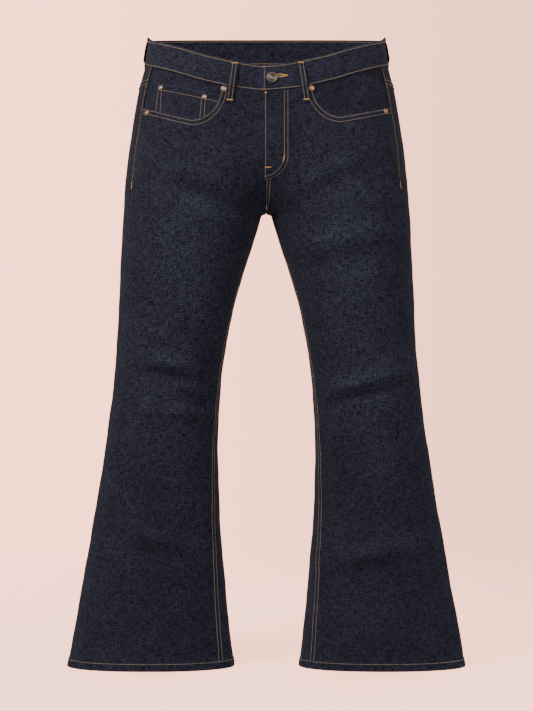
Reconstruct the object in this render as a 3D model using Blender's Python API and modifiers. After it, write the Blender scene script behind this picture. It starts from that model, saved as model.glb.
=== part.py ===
"""Bootcut jeans, filled out with no wearer, open at the waist and at both hems.

Every panel is a thin wall lofted through the sections of one form. A point of the form is given by
its turn round the wearer's left half of the garment (0 inner front, 1 front crease, 2 side, 3 seat,
4 inner back) and its height above the hems. The wearer's right half is the mirror image of it, with
folds of its own. The front faces -Y, the wearer's left is +X, and the origin is the middle of the
waist opening, level with the top of the side seams.
"""

import math
from collections import namedtuple

import bmesh
import bpy
import numpy as np
from mathutils import Matrix, Vector
from mathutils.bvhtree import BVHTree

WAIST_HEIGHT = 1.030
GAP = 0.0003
CLOTH = 0.0012
BAND_WALL = 0.0026
BAND_PROUD = 0.0008
BAND_CROWN = 0.0006
BAND_HEIGHT = 0.042
BAND_DIP_FRONT = 0.0577
BAND_TILT_BACK = 0.205
HEM_HEIGHT = 0.014
HEM_WALL = 0.0026
HEM_PROUD = 0.0007
CROTCH_HEIGHT = 0.7455
CROTCH_ROUND = 0.006
FRONT_RISE_BEND = 0.090
BACK_RISE_BEND = 0.120
RISE_BLEND = 0.160
ROUNDNESS = 2.2
SIDE_SEAM_INSET = 0.0130
HIP_SEAM_INSET = 0.0165
RISE_ROWS = 11
LEG_ROWS = 30
SEAM_COLUMNS = 5
YOKE_COLUMNS = 13
HEM_COLUMNS = 36
LEFT = 1
RIGHT = -1

Section = namedtuple("Section", "height outer inner crease seat front back middle")
SECTIONS = (
    Section(0.000, 0.3280, 0.0530, 0.190, 0.190, -0.064, 0.066, 0.000),
    Section(0.041, 0.3209, 0.0582, 0.190, 0.190, -0.064, 0.066, 0.000),
    Section(0.107, 0.3085, 0.0653, 0.187, 0.187, -0.064, 0.067, 0.000),
    Section(0.173, 0.2967, 0.0715, 0.184, 0.184, -0.064, 0.068, 0.000),
    Section(0.239, 0.2852, 0.0762, 0.181, 0.181, -0.064, 0.069, 0.000),
    Section(0.305, 0.2741, 0.0791, 0.177, 0.177, -0.065, 0.070, 0.000),
    Section(0.371, 0.2640, 0.0794, 0.172, 0.171, -0.067, 0.072, 0.000),
    Section(0.437, 0.2551, 0.0765, 0.166, 0.165, -0.071, 0.075, 0.000),
    Section(0.512, 0.2477, 0.0686, 0.158, 0.156, -0.078, 0.082, 0.000),
    Section(0.586, 0.2435, 0.0548, 0.148, 0.146, -0.085, 0.090, -0.001),
    Section(0.652, 0.2407, 0.0357, 0.138, 0.135, -0.091, 0.100, -0.003),
    Section(0.701, 0.2379, 0.0198, 0.129, 0.124, -0.096, 0.110, -0.006),
    Section(0.741, 0.2353, 0.0080, 0.120, 0.114, -0.100, 0.119, -0.008),
    Section(0.784, 0.2321, 0.0060, 0.110, 0.105, -0.104, 0.126, -0.006),
    Section(0.850, 0.2256, 0.0060, 0.092, 0.094, -0.107, 0.128, -0.002),
    Section(0.908, 0.2171, 0.0060, 0.074, 0.082, -0.106, 0.122, 0.001),
    Section(0.949, 0.2098, 0.0060, 0.060, 0.068, -0.102, 0.113, 0.002),
    Section(0.982, 0.2013, 0.0060, 0.050, 0.056, -0.097, 0.105, 0.002),
    Section(1.007, 0.1967, 0.0060, 0.044, 0.050, -0.094, 0.100, 0.002),
    Section(1.055, 0.1910, 0.0060, 0.040, 0.046, -0.090, 0.095, 0.002),
)
COLUMNS = {name: np.array([getattr(row, name) for row in SECTIONS]) for name in Section._fields}

# How much of the front dip the waistband's top edge has, from the centre to the side.
BandDip = namedtuple("BandDip", "across share")
BAND_DIP = (
    BandDip(0.00, 1.000),
    BandDip(0.22, 0.912),
    BandDip(0.30, 0.854),
    BandDip(0.40, 0.775),
    BandDip(0.52, 0.665),
    BandDip(0.66, 0.500),
    BandDip(0.79, 0.345),
    BandDip(0.90, 0.205),
    BandDip(0.97, 0.093),
    BandDip(1.00, 0.000),
)
BAND_LEVEL = 0.960

# How far an inseam lies in front of the innermost line of a leg.
SeamInset = namedtuple("SeamInset", "height inset")
INSEAM = (
    SeamInset(0.000, 0.0150),
    SeamInset(0.120, 0.0105),
    SeamInset(0.248, 0.0066),
    SeamInset(0.380, 0.0035),
    SeamInset(0.508, 0.0017),
    SeamInset(0.620, 0.0008),
    SeamInset(0.7455, 0.0002),
)

# A fold is a soft ridge (depth above 0) or trough across one face of one leg, seen from the front.
Fold = namedtuple("Fold", "side face across height tilt length width depth")
FOLDS = (
    Fold(RIGHT, "front", 0.155, 0.498, 14, 0.042, 0.010, 0.0034),
    Fold(RIGHT, "front", 0.163, 0.478, 10, 0.048, 0.009, -0.0034),
    Fold(RIGHT, "front", 0.119, 0.440, 36, 0.020, 0.009, -0.0020),
    Fold(RIGHT, "front", 0.147, 0.420, 8, 0.042, 0.011, 0.0026),
    Fold(RIGHT, "front", 0.165, 0.215, 16, 0.058, 0.013, 0.0032),
    Fold(RIGHT, "front", 0.172, 0.190, 14, 0.050, 0.013, -0.0024),
    Fold(RIGHT, "front", 0.105, 0.742, 20, 0.045, 0.017, 0.0026),
    Fold(RIGHT, "front", 0.120, 0.800, 24, 0.060, 0.013, 0.0020),
    Fold(RIGHT, "front", 0.110, 0.770, 22, 0.055, 0.012, -0.0020),
    Fold(LEFT, "front", 0.118, 0.697, 11, 0.078, 0.015, 0.0030),
    Fold(LEFT, "front", 0.125, 0.664, 10, 0.070, 0.015, -0.0024),
    Fold(LEFT, "front", 0.164, 0.471, 14, 0.058, 0.012, 0.0036),
    Fold(LEFT, "front", 0.168, 0.448, 12, 0.055, 0.011, -0.0032),
    Fold(LEFT, "front", 0.173, 0.194, 11, 0.078, 0.014, 0.0032),
    Fold(LEFT, "front", 0.176, 0.168, 10, 0.060, 0.013, -0.0022),
    Fold(LEFT, "front", 0.115, 0.812, 26, 0.060, 0.013, 0.0022),
    Fold(LEFT, "front", 0.100, 0.778, 24, 0.055, 0.012, -0.0020),
    Fold(RIGHT, "back", 0.150, 0.508, -8, 0.060, 0.012, 0.0036),
    Fold(RIGHT, "back", 0.160, 0.484, -6, 0.060, 0.011, -0.0040),
    Fold(RIGHT, "back", 0.160, 0.452, 8, 0.055, 0.012, 0.0032),
    Fold(RIGHT, "back", 0.120, 0.700, -14, 0.070, 0.016, -0.0030),
    Fold(LEFT, "back", 0.158, 0.500, 9, 0.064, 0.012, 0.0036),
    Fold(LEFT, "back", 0.150, 0.476, 7, 0.058, 0.011, -0.0038),
    Fold(LEFT, "back", 0.165, 0.440, -8, 0.056, 0.012, 0.0030),
    Fold(LEFT, "back", 0.118, 0.694, -12, 0.070, 0.016, -0.0030),
)

# The scooped mouth of a front pocket: an arc down from the waistband, then a slow climb to the side.
Scoop = namedtuple("Scoop", "start low_across drop climb")
SCOOPS = {RIGHT: Scoop(0.0725, 0.118, 0.0535, 0.0260), LEFT: Scoop(0.0740, 0.118, 0.0490, 0.0215)}
SCOOP_SIDE = 0.202
SCOOP_END_LEVEL = 0.915
ARC_STEPS = (6, 26, 47, 69, 90)
SCOOP_CLIMB_POWER = 1.2
FACING_UNDER = 0.010
FACING_WALL = 0.0010
COIN_TOP = ((0.0776, 0.9238), (0.1716, 0.9469))
COIN_SIDE = ((0.1806, 0.890), (0.1714, 0.960))
COIN_WALL = 0.0008

YOKE_SIDE_HEIGHT = 0.9490
YOKE_CENTRE_HEIGHT = 0.9270
BackPocket = namedtuple("BackPocket", "across top width foot_width side point slope")
BACK_POCKET = BackPocket(0.098, 0.908, 0.142, 0.122, 0.128, 0.026, 0.06)
FLY_EDGE = -0.0030
FLY_WIDTH = 0.0352
FLY_FOOT = 0.7915
FLY_BEND = 0.0350
FLY_WALL = 0.0010

LOOP_WIDTH = 0.0115
LOOP_WALL = 0.0016
LOOP_STAND_OFF = 0.0033
LOOP_LENGTH = 0.0655
LOOP_BELOW_TOP = 0.0028
BeltLoop = namedtuple("BeltLoop", "node side face top_across foot_across")
BELT_LOOPS = (
    BeltLoop("belt_loop_front_right", RIGHT, "front", 0.0500, 0.0587),
    BeltLoop("belt_loop_front_left", LEFT, "front", 0.0545, 0.0645),
    BeltLoop("belt_loop_side_right", RIGHT, "back", 0.1880, 0.1955),
    BeltLoop("belt_loop_side_left", LEFT, "back", 0.1880, 0.1955),
    BeltLoop("belt_loop_back", LEFT, "back", 0.0, 0.0),
)

# The waistband starts this far under its own lapped end.
UNDERLAP = 0.032
LAP_END = -0.0050
LAP_RAMP = 0.016
LAP = 0.0015

BUTTON_AT = (0.0089, 0.9508)
BUTTON_RADIUS = 0.0084
BUTTON_HEIGHT = 0.0042
Rivet = namedtuple("Rivet", "node side across height radius carrier")
RIVET_HEIGHT = 0.0018
# Small pieces are seated on the carrier facet nearest to a place this far off the form.
REACH = 0.004
RIVETS = (
    Rivet("rivet_right_inner", RIGHT, 0.0681, 0.9338, 0.0047, "front_right"),
    Rivet("rivet_right_outer", RIGHT, 0.1924, 0.9009, 0.0047, "front_right"),
    Rivet("rivet_left_inner", LEFT, 0.0716, 0.9346, 0.0047, "front_left"),
    Rivet("rivet_left_outer", LEFT, 0.1917, 0.9036, 0.0047, "front_left"),
    Rivet("rivet_coin_outer", RIGHT, 0.1694, 0.9398, 0.0036, "coin_pocket"),
    Rivet("rivet_coin_inner", RIGHT, 0.0985, 0.9211, 0.0036, "coin_pocket"),
)

DENIM = (0.022, 0.024, 0.043)
METAL_BUTTON = (0.25, 0.20, 0.18)
COPPER = (0.48, 0.27, 0.17)


def curve_through(at, rows, values):
    """Smooth curve through the rows of a table, read at any place between its first and last."""
    rows, values = np.asarray(rows, float), np.asarray(values, float)
    slope = np.gradient(values, rows)
    i = np.clip(np.searchsorted(rows, at) - 1, 0, len(rows) - 2)
    step = rows[i + 1] - rows[i]
    t = np.clip((at - rows[i]) / step, 0, 1)
    start = (1 + 2 * t) * (1 - t) ** 2 * values[i] + t * (1 - t) ** 2 * step * slope[i]
    return start + t * t * (3 - 2 * t) * values[i + 1] + t * t * (t - 1) * step * slope[i + 1]


def smoothstep(value):
    """A soft step from 0 to 1."""
    value = np.clip(value, 0, 1)
    return value * value * (3 - 2 * value)


def column(name, height):
    """One measure of the sections, read at any height."""
    return curve_through(height, COLUMNS["height"], COLUMNS[name])


def inner_edge(height):
    """Half the gap between the legs, rounded off where it closes at the crotch."""
    depth = np.clip((CROTCH_HEIGHT - height) / CROTCH_ROUND, 0, 1)
    return column("inner", height) * np.sqrt(1 - (1 - depth) ** 2) + GAP / 2


def rise(height, bend):
    """How far a rise seam has come from the crotch to the front or back of the form, 0 to 1."""
    climbed = np.clip((height - CROTCH_HEIGHT) / bend, 0, 1)
    return np.minimum(np.sqrt(1 - (1 - climbed) ** 2), 0.985)


def inner_quarter(share, height, crease, depth, bend):
    """The quarter of a section from its inner end (share 0) to its crease (share 1)."""
    inner, middle = inner_edge(height), column("middle", height)
    start = np.arcsin(rise(height, bend) ** (ROUNDNESS / 2))
    turn = start + (math.pi / 2 - start) * share
    along = np.clip(np.cos(turn) / np.cos(start), 0, 1) ** (2 / ROUNDNESS)
    x = crease - (crease - inner) * along
    y = middle + (depth - middle) * np.sin(turn) ** (2 / ROUNDNESS)
    y_start = middle + (depth - middle) * rise(height, bend)
    y_flat = y_start + (depth - y_start) * smoothstep((x - inner) / (crease - inner))
    flat = smoothstep((height - CROTCH_HEIGHT) / RISE_BLEND)
    return x, y + (y_flat - y) * flat


def outer_quarter(share, height, crease, depth):
    """The quarter of a section from its crease (share 0) to its outermost point (share 1)."""
    outer, middle = column("outer", height), column("middle", height)
    turn = share * math.pi / 2
    x = crease + (outer - crease) * np.sin(turn) ** (2 / ROUNDNESS)
    return x, middle + (depth - middle) * np.clip(np.cos(turn), 0, 1) ** (2 / ROUNDNESS)


def form(turn, height):
    """Points of the smooth form, wearer's left half, for arrays of turns and heights."""
    turn, height = np.broadcast_arrays(np.asarray(turn, float), np.asarray(height, float))
    turn = np.where(height < CROTCH_HEIGHT, turn % 4, np.clip(turn, 0, 4))
    front, back = column("front", height), column("back", height)
    crease, seat = column("crease", height), column("seat", height)
    quarters = (
        inner_quarter(np.clip(turn, 0, 1), height, crease, front, FRONT_RISE_BEND),
        outer_quarter(np.clip(turn - 1, 0, 1), height, crease, front),
        outer_quarter(np.clip(3 - turn, 0, 1), height, seat, back),
        inner_quarter(np.clip(4 - turn, 0, 1), height, seat, back, BACK_RISE_BEND),
    )
    which = np.clip(turn.astype(int), 0, 3)
    x = np.choose(which, [q[0] for q in quarters])
    y = np.choose(which, [q[1] for q in quarters])
    return np.stack([x, y, height], -1)


def form_normal(turn, height):
    """Outward normals of the smooth form."""
    step = 0.004
    turn, height = np.broadcast_arrays(np.asarray(turn, float), np.asarray(height, float))
    low, high = turn - step, turn + step
    above = height >= CROTCH_HEIGHT
    low, high = np.where(above, np.maximum(low, 0), low), np.where(above, np.minimum(high, 4), high)
    along = form(high, height) - form(low, height)
    up = form(turn, height + step / 4) - form(turn, height - step / 4)
    normal = np.cross(along, up)
    return normal / np.maximum(np.linalg.norm(normal, axis=-1, keepdims=True), 1e-12)


def fold_depth(points, side):
    """How far the folds of one side lift or sink the cloth at these points."""
    depth = np.zeros(points.shape[:-1])
    front, back = column("front", points[..., 2]), column("back", points[..., 2])
    facing = {
        "front": smoothstep(2.5 * points[..., 1] / front),
        "back": smoothstep(2.5 * points[..., 1] / back),
    }
    for fold in FOLDS:
        if fold.side != side:
            continue
        lean = math.radians(fold.tilt)
        x, z = points[..., 0] - fold.across, points[..., 2] - fold.height
        along = (x * math.cos(lean) + z * math.sin(lean)) / fold.length
        over = (z * math.cos(lean) - x * math.sin(lean)) / fold.width
        depth += fold.depth * np.exp(-(along**2) - over**2) * facing[fold.face]
    return depth


def cloth(turn, height, side, lift=0.0):
    """Points on the cloth of one side, lifted off its outer face, in the garment's frame."""
    turn, height = np.broadcast_arrays(np.asarray(turn, float), np.asarray(height, float))
    points = form(turn, height)
    lifted = points + form_normal(turn, height) * (fold_depth(points, side) + lift)[..., None]
    return lifted * (side, 1, 1) - (0, 0, WAIST_HEIGHT)


def turn_across(across, height, face="front"):
    """The turn at which a section reaches a distance across, on its front or back."""
    is_front = face == "front"
    crease = column("crease" if is_front else "seat", height)
    bend = FRONT_RISE_BEND if is_front else BACK_RISE_BEND
    outer, inner = column("outer", height), inner_edge(height)
    start = np.arcsin(rise(height, bend) ** (ROUNDNESS / 2))
    inwards = np.clip((crease - across) / (crease - inner), 0, 1) ** (ROUNDNESS / 2)
    near = (np.arccos(np.clip(np.cos(start) * inwards, 0, 1)) - start) / (math.pi / 2 - start)
    outwards = np.clip((across - crease) / (outer - crease), 0, 1) ** (ROUNDNESS / 2)
    far = 1 + np.arcsin(outwards) * 2 / math.pi
    turn = np.where(across < crease, near, far)
    return turn if is_front else 4 - turn


def side_seam(height):
    """The turn of the side seam, a little in front of the outermost line, and more so at the hip."""
    at_hip = smoothstep((height - 0.70) / 0.10)
    inset = SIDE_SEAM_INSET + (HIP_SEAM_INSET - SIDE_SEAM_INSET) * at_hip
    return turn_across(column("outer", height) - inset, height)


def inseam(height):
    """The turn of the inseam below the crotch, and of the centre front above it."""
    inset = curve_through(height, [row.height for row in INSEAM], [row.inset for row in INSEAM])
    below = np.minimum(height, CROTCH_HEIGHT - 0.0005)
    return np.where(height < CROTCH_HEIGHT, turn_across(inner_edge(below) + inset, below), 0.0)


def band_top(turn):
    """Height of the waistband's top edge: it dips to the centre front and tilts up to the centre back."""
    across = form(turn, BAND_LEVEL)[..., 0] / column("outer", BAND_LEVEL)
    rows, shares = [row.across for row in BAND_DIP], [row.share for row in BAND_DIP]
    dip = BAND_DIP_FRONT * curve_through(np.clip(across, 0, 1), rows, shares)
    climb = BAND_TILT_BACK * np.clip(form(turn, WAIST_HEIGHT)[..., 1], 0, None)
    return WAIST_HEIGHT + np.where(np.asarray(turn) < 2, -dip, climb)


def waist_seam(turn):
    """Height of the seam under the waistband."""
    return band_top(turn) - BAND_HEIGHT


def seam_turn(across):
    """The turn at which the waist seam is this far across the front."""
    turn = turn_across(across, WAIST_HEIGHT - 2 * BAND_HEIGHT)
    for _ in range(6):
        turn = turn_across(across, waist_seam(turn))
    return turn


def yoke_seam(turn):
    """The yoke seam drops from the side seam to the centre back."""
    share = np.clip((np.asarray(turn) - 1.8) / 2.2, 0, 1) ** 0.9
    return YOKE_SIDE_HEIGHT + (YOKE_CENTRE_HEIGHT - YOKE_SIDE_HEIGHT) * share


def scoop_height(across, side, widen=0.0):
    """Height of a pocket mouth at a distance across, or of the line this far outside it."""
    scoop = SCOOPS[side]
    top = waist_seam(seam_turn(scoop.start)) - GAP
    low = top - scoop.drop
    reach = scoop.low_across - scoop.start + widen
    arc = np.sqrt(np.clip(1 - ((scoop.low_across - across) / reach) ** 2, 0, 1))
    climb = np.clip((across - scoop.low_across) / (SCOOP_SIDE - scoop.low_across), 0, 1)
    outer = low + scoop.climb * climb**SCOOP_CLIMB_POWER
    return np.where(across < scoop.low_across, top - (scoop.drop + widen) * arc, outer - widen)


def spaced(start, end, height, count):
    """Turns spread evenly along the cloth between two turns of one row."""
    fine = np.linspace(start, end, 65)
    steps = np.linalg.norm(np.diff(form(fine, height), axis=0), axis=1)
    length = np.concatenate([[0], np.cumsum(steps)])
    return np.interp(np.linspace(0, length[-1], count), length, fine)


def nudge(turn, height, distance):
    """A turn moved by a distance along the cloth."""
    speed = np.linalg.norm(form(turn + 0.01, height) - form(turn - 0.01, height), axis=-1) / 0.02
    return turn + distance / np.maximum(speed, 0.02)


def plain_material(name, colour, roughness, metallic):
    """A plain material of one colour."""
    material = bpy.data.materials.new(name)
    material.use_nodes = True
    shader = material.node_tree.nodes["Principled BSDF"]
    shader.inputs["Base Color"].default_value = (*colour, 1)
    shader.inputs["Roughness"].default_value = roughness
    shader.inputs["Metallic"].default_value = metallic
    return material


def add_object(name, mesh, collection, colour, roughness=0.85, metallic=0.0):
    """A named object with its own material, linked to the collection."""
    item = bpy.data.objects.new(name, mesh)
    mesh.materials.append(plain_material(name, colour, roughness, metallic))
    collection.objects.link(item)
    return item


def finish_mesh(name, points, faces, collection, colour=DENIM):
    """A closed mesh from its points and faces, facing outwards."""
    mesh = bpy.data.meshes.new(name)
    mesh.from_pydata([tuple(point) for point in points], [], faces)
    mesh.update()
    if volume_of(mesh) < 0:
        mesh.flip_normals()
    mesh.shade_smooth()
    mesh.set_sharp_from_angle(angle=math.radians(50))
    return add_object(name, mesh, collection, colour)


def add_wall(name, outer, inner, collection, ring=False):
    """A closed wall between two grids of points, rows by columns. A ring's last column joins its first."""
    rows, columns = outer.shape[:2]
    inside = rows * columns
    spans = columns if ring else columns - 1

    def at(row, col, offset=0):
        return offset + row * columns + col % columns

    faces = []
    for row in range(rows - 1):
        for col in range(spans):
            a, b, c, d = (row, col), (row, col + 1), (row + 1, col + 1), (row + 1, col)
            for corners in ((a, b, c), (a, c, d)):
                faces.append([at(*corner) for corner in corners])
                faces.append([at(*corner, inside) for corner in reversed(corners)])
    for col in range(spans):
        faces.append([at(0, col + 1), at(0, col), at(0, col, inside), at(0, col + 1, inside)])
        last = rows - 1
        faces.append([at(last, col), at(last, col + 1), at(last, col + 1, inside), at(last, col, inside)])
    if not ring:
        for row in range(rows - 1):
            end = columns - 1
            faces.append([at(row, 0), at(row + 1, 0), at(row + 1, 0, inside), at(row, 0, inside)])
            faces.append([at(row + 1, end), at(row, end), at(row, end, inside), at(row + 1, end, inside)])
    points = np.concatenate([outer.reshape(-1, 3), inner.reshape(-1, 3)])
    return finish_mesh(name, points, faces, collection)


def add_patch(name, base, lifted, cuts, wall, collection, mirrored_columns=0):
    """A piece that lies on a panel: the panel's own facets, cut to the piece's outline and moved out.

    base and lifted are the panel's grid of points and the same points one metre out along their normals.
    Each cut is a point and a direction in the front view, and what lies past it that way is cleared. The
    first columns may come from the panel across the centre front, whose facets are split the other way.
    """
    rows, columns = base.shape[:2]
    sheet = bmesh.new()
    outwards = sheet.verts.layers.float_vector.new("outwards")
    corners = []
    for place, far in zip(base.reshape(-1, 3), lifted.reshape(-1, 3)):
        corner = sheet.verts.new(place)
        corner[outwards] = far - place
        corners.append(corner)
    for row in range(rows - 1):
        for col in range(columns - 1):
            a, b = row * columns + col, row * columns + col + 1
            c, d = b + columns, a + columns
            if col < mirrored_columns:
                a, b, c, d = b, c, d, a
            sheet.faces.new([corners[a], corners[b], corners[c]])
            sheet.faces.new([corners[a], corners[c], corners[d]])
    for (x, z), (dx, dz) in cuts:
        everything = list(sheet.verts) + list(sheet.edges) + list(sheet.faces)
        bmesh.ops.bisect_plane(
            sheet, geom=everything, dist=1e-6, plane_co=(x, 0, z), plane_no=(dx, 0, dz), clear_outer=True
        )
    bmesh.ops.remove_doubles(sheet, verts=sheet.verts, dist=0.0001)
    sheet.verts.index_update()
    places = np.array([vert.co for vert in sheet.verts])
    ways = np.array([vert[outwards] for vert in sheet.verts])
    inside = len(places)
    faces = []
    for face in sheet.faces:
        loop = [vert.index for vert in face.verts]
        faces.append(loop)
        faces.append([inside + i for i in reversed(loop)])
    for edge in sheet.edges:
        if len(edge.link_faces) == 1:
            loop = edge.link_loops[0]
            a, b = loop.vert.index, loop.link_loop_next.vert.index
            faces.append([b, a, inside + a, inside + b])
    sheet.free()
    points = np.concatenate([places + ways * (GAP + wall), places + ways * GAP])
    return finish_mesh(name, points, faces, collection)


def volume_of(mesh):
    """Signed volume of a closed mesh, below 0 when its faces point inwards."""
    total = 0.0
    for face in mesh.polygons:
        a, *rest = [mesh.vertices[i].co for i in face.vertices]
        for b, c in zip(rest, rest[1:]):
            total += a.dot(b.cross(c)) / 6
    return total


def cloth_wall(name, turns, heights, side, collection, lift=0.0, wall=CLOTH):
    """A wall of cloth whose outer face lies at a lift over the form."""
    outer = cloth(turns, heights, side, lift)
    inner = cloth(turns, heights, side, lift - wall)
    return add_wall(name, outer, inner, collection)


def leg_rows():
    """Heights of the rows below the crotch, closest together at the knee."""
    fine = np.linspace(CROTCH_HEIGHT, HEM_HEIGHT + GAP, 200)
    at_knee = 1.3 * np.exp(-(((fine - 0.47) / 0.09) ** 2))
    crowding = 1 + at_knee + 0.7 * np.exp(-(((fine - CROTCH_HEIGHT) / 0.02) ** 2))
    amount = np.concatenate([[0], np.cumsum((crowding[1:] + crowding[:-1]) / 2)])
    return np.interp(np.linspace(0, amount[-1], LEG_ROWS), amount, fine)


def rise_rows(top, bend):
    """Heights of the inner ends of the rows above the crotch, even along the rise seam."""
    straight = np.linspace(top, CROTCH_HEIGHT + bend, 40)[:-1]
    curved = CROTCH_HEIGHT + bend * (1 - np.sin(np.linspace(0, math.pi / 2, 60)))
    fine = np.concatenate([straight, curved])
    turn = 0.0 if bend == FRONT_RISE_BEND else 4.0
    steps = np.linalg.norm(np.diff(form(turn, fine), axis=0), axis=1)
    length = np.concatenate([[0], np.cumsum(steps)])
    return np.interp(np.linspace(0, length[-1], RISE_ROWS), length, fine)


def panel_grid(top_turns, top_heights, inner_turn, inner_top, bend, is_front):
    """Turns and heights of a leg panel from its top edge to its hem, inner edge first."""
    count = len(top_turns)
    across = np.linspace(0, 1, count)
    ease = smoothstep(across * 1.15)
    inner_heights = rise_rows(inner_top, bend)
    seam_side = GAP / 2 * (-1 if is_front else 1)
    crotch_end = nudge(side_seam(CROTCH_HEIGHT), CROTCH_HEIGHT, seam_side)
    crotch_row = spaced(inner_turn(CROTCH_HEIGHT), crotch_end, CROTCH_HEIGHT, count)
    turns, heights = [], []
    for row in range(RISE_ROWS - 1):
        share = row / (RISE_ROWS - 1)
        height = top_heights + (CROTCH_HEIGHT - top_heights) * share
        height = height + (inner_heights[row] - height[0]) * (1 - ease)
        turn = top_turns + (crotch_row - top_turns) * share
        turn[0] = inner_turn(height[0])
        turn[-1] = nudge(side_seam(height[-1]), height[-1], seam_side)
        turns.append(turn)
        heights.append(height)
    for height in leg_rows():
        start = nudge(inner_turn(height), height, GAP / 2 * (1 if is_front else -1))
        end = nudge(side_seam(height), height, seam_side)
        turns.append(spaced(start, end, height, count))
        heights.append(np.full(count, height))
    return np.array(turns), np.array(heights)


def front_top_edge(side):
    """Turns and heights along a front panel's top edge: the waist seam, then the pocket mouth."""
    scoop = SCOOPS[side]
    start = float(seam_turn(scoop.start))
    seam_turns = np.linspace(0.0, start, SEAM_COLUMNS)
    drop = np.radians(ARC_STEPS)
    reach = scoop.low_across - scoop.start
    arc_across = scoop.low_across - reach * np.cos(drop)
    end = column("outer", SCOOP_END_LEVEL) - HIP_SEAM_INSET
    climb_across = np.linspace(scoop.low_across, end, 6)[1:]
    across = np.concatenate([arc_across, climb_across])
    heights = scoop_height(across, side)
    turns = np.array([float(turn_across(x, z)) for x, z in zip(across, heights)])
    turns[-1] = nudge(side_seam(heights[-1]), heights[-1], -GAP / 2)
    all_turns = np.concatenate([seam_turns, turns])
    return all_turns, np.concatenate([waist_seam(seam_turns) - GAP, heights])


def front_grid(side):
    """Turns and heights of a front leg panel."""
    turns, heights = front_top_edge(side)

    def inner_turn(height):
        return float(inseam(height)) if height < CROTCH_HEIGHT else 0.0

    return panel_grid(turns, heights, inner_turn, heights[0], FRONT_RISE_BEND, True)


def back_grid():
    """Turns and heights of a back leg panel, the same on both sides."""
    turns = yoke_grid()[0][0, ::-1]
    heights = yoke_seam(turns) - GAP

    def inner_turn(height):
        return 4.0 + float(inseam(height)) if height < CROTCH_HEIGHT else 4.0

    return panel_grid(turns, heights, inner_turn, heights[0], BACK_RISE_BEND, False)


def yoke_grid():
    """The yoke fills the back between the yoke seam and the waistband."""
    rows = []
    for share in np.linspace(0, 1, 4):
        height = YOKE_SIDE_HEIGHT + (WAIST_HEIGHT - BAND_HEIGHT - YOKE_SIDE_HEIGHT) * share
        start = nudge(side_seam(height), height, GAP / 2)
        turns = spaced(start, 4.0, height, YOKE_COLUMNS)
        low, high = yoke_seam(turns), waist_seam(turns) - GAP
        rows.append((turns, low + (high - low) * share))
    turns, heights = (np.array(part) for part in zip(*rows))
    return turns, heights


def facing_grid(side):
    """The facing's columns are the front panel's own, taken from under its mouth up to the waistband."""
    panel_turns, panel_heights = front_grid(side)
    mouth_turns, mouth_heights = panel_turns[0, SEAM_COLUMNS:], panel_heights[0, SEAM_COLUMNS:]
    under = FACING_UNDER / (mouth_heights - panel_heights[1, SEAM_COLUMNS:])
    under_turns = mouth_turns + (panel_turns[1, SEAM_COLUMNS:] - mouth_turns) * under
    across = form(mouth_turns, mouth_heights)[:, 0]
    top_turns = seam_turn(across)
    side_top = float(waist_seam(side_seam(WAIST_HEIGHT - BAND_HEIGHT)))
    top_turns[-1] = nudge(side_seam(side_top), side_top, -GAP / 2)
    high = waist_seam(top_turns) - GAP
    rows = [(under_turns, mouth_heights - FACING_UNDER)]
    for share in np.linspace(0, 1, 4):
        row_turns = mouth_turns + (top_turns - mouth_turns) * share
        rows.append((row_turns, mouth_heights + (high - mouth_heights) * share))
    turns, heights = (np.array(part) for part in zip(*rows))
    return turns, heights


def add_facing(side, name, collection):
    """The denim behind a pocket mouth, which runs a little way under the front panel."""
    panel_turns, panel_heights = front_grid(side)
    turns, heights = facing_grid(side)
    lift = -CLOTH - GAP

    def face(extra):
        points = cloth(turns, heights, side, lift + extra)
        mouth = cloth(panel_turns[:2, SEAM_COLUMNS:], panel_heights[:2, SEAM_COLUMNS:], side, lift + extra)
        share = FACING_UNDER / (panel_heights[0, SEAM_COLUMNS:] - panel_heights[1, SEAM_COLUMNS:])
        points[0] = mouth[0] + (mouth[1] - mouth[0]) * share[:, None]
        return points

    return add_wall(name, face(0.0), face(-FACING_WALL), collection)


def line_cut(start, end, side):
    """A cut along a line in the front view of the wearer's left half. What lies to its right is cleared."""
    (x0, z0), (x1, z1) = start, end
    length = math.hypot(x1 - x0, z1 - z0)
    return (side * x0, z0 - WAIST_HEIGHT), (side * (z1 - z0) / length, (x0 - x1) / length)


def moved_left(start, end, distance):
    """A line in the front view moved to its own left, going along."""
    (x0, z0), (x1, z1) = start, end
    share = distance / math.hypot(x1 - x0, z1 - z0)
    dx, dz = (z0 - z1) * share, (x1 - x0) * share
    return (x0 + dx, z0 + dz), (x1 + dx, z1 + dz)


def add_coin_pocket(collection):
    """The small pocket on the right facing, from its own top edge down to the pocket mouth."""
    turns, heights = facing_grid(RIGHT)
    turns, heights = turns[1:].copy(), heights[1:].copy()
    turns[0] += (turns[1] - turns[0]) * 2 * GAP / (heights[1] - heights[0])
    heights[0] += 2 * GAP
    lift = -CLOTH - GAP
    base, lifted = cloth(turns, heights, RIGHT, lift), cloth(turns, heights, RIGHT, lift + 1.0)
    mouth = form(*(part[0, SEAM_COLUMNS:] for part in front_grid(RIGHT)))[:3, [0, 2]]
    beside_mouth = [moved_left(a, b, 2 * GAP) for a, b in zip(mouth, mouth[1:])]
    outline = [reversed(COIN_TOP), COIN_SIDE, *beside_mouth]
    cuts = [line_cut(*line, RIGHT) for line in outline]
    return add_patch("coin_pocket", base, lifted, cuts, COIN_WALL, collection)


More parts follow.
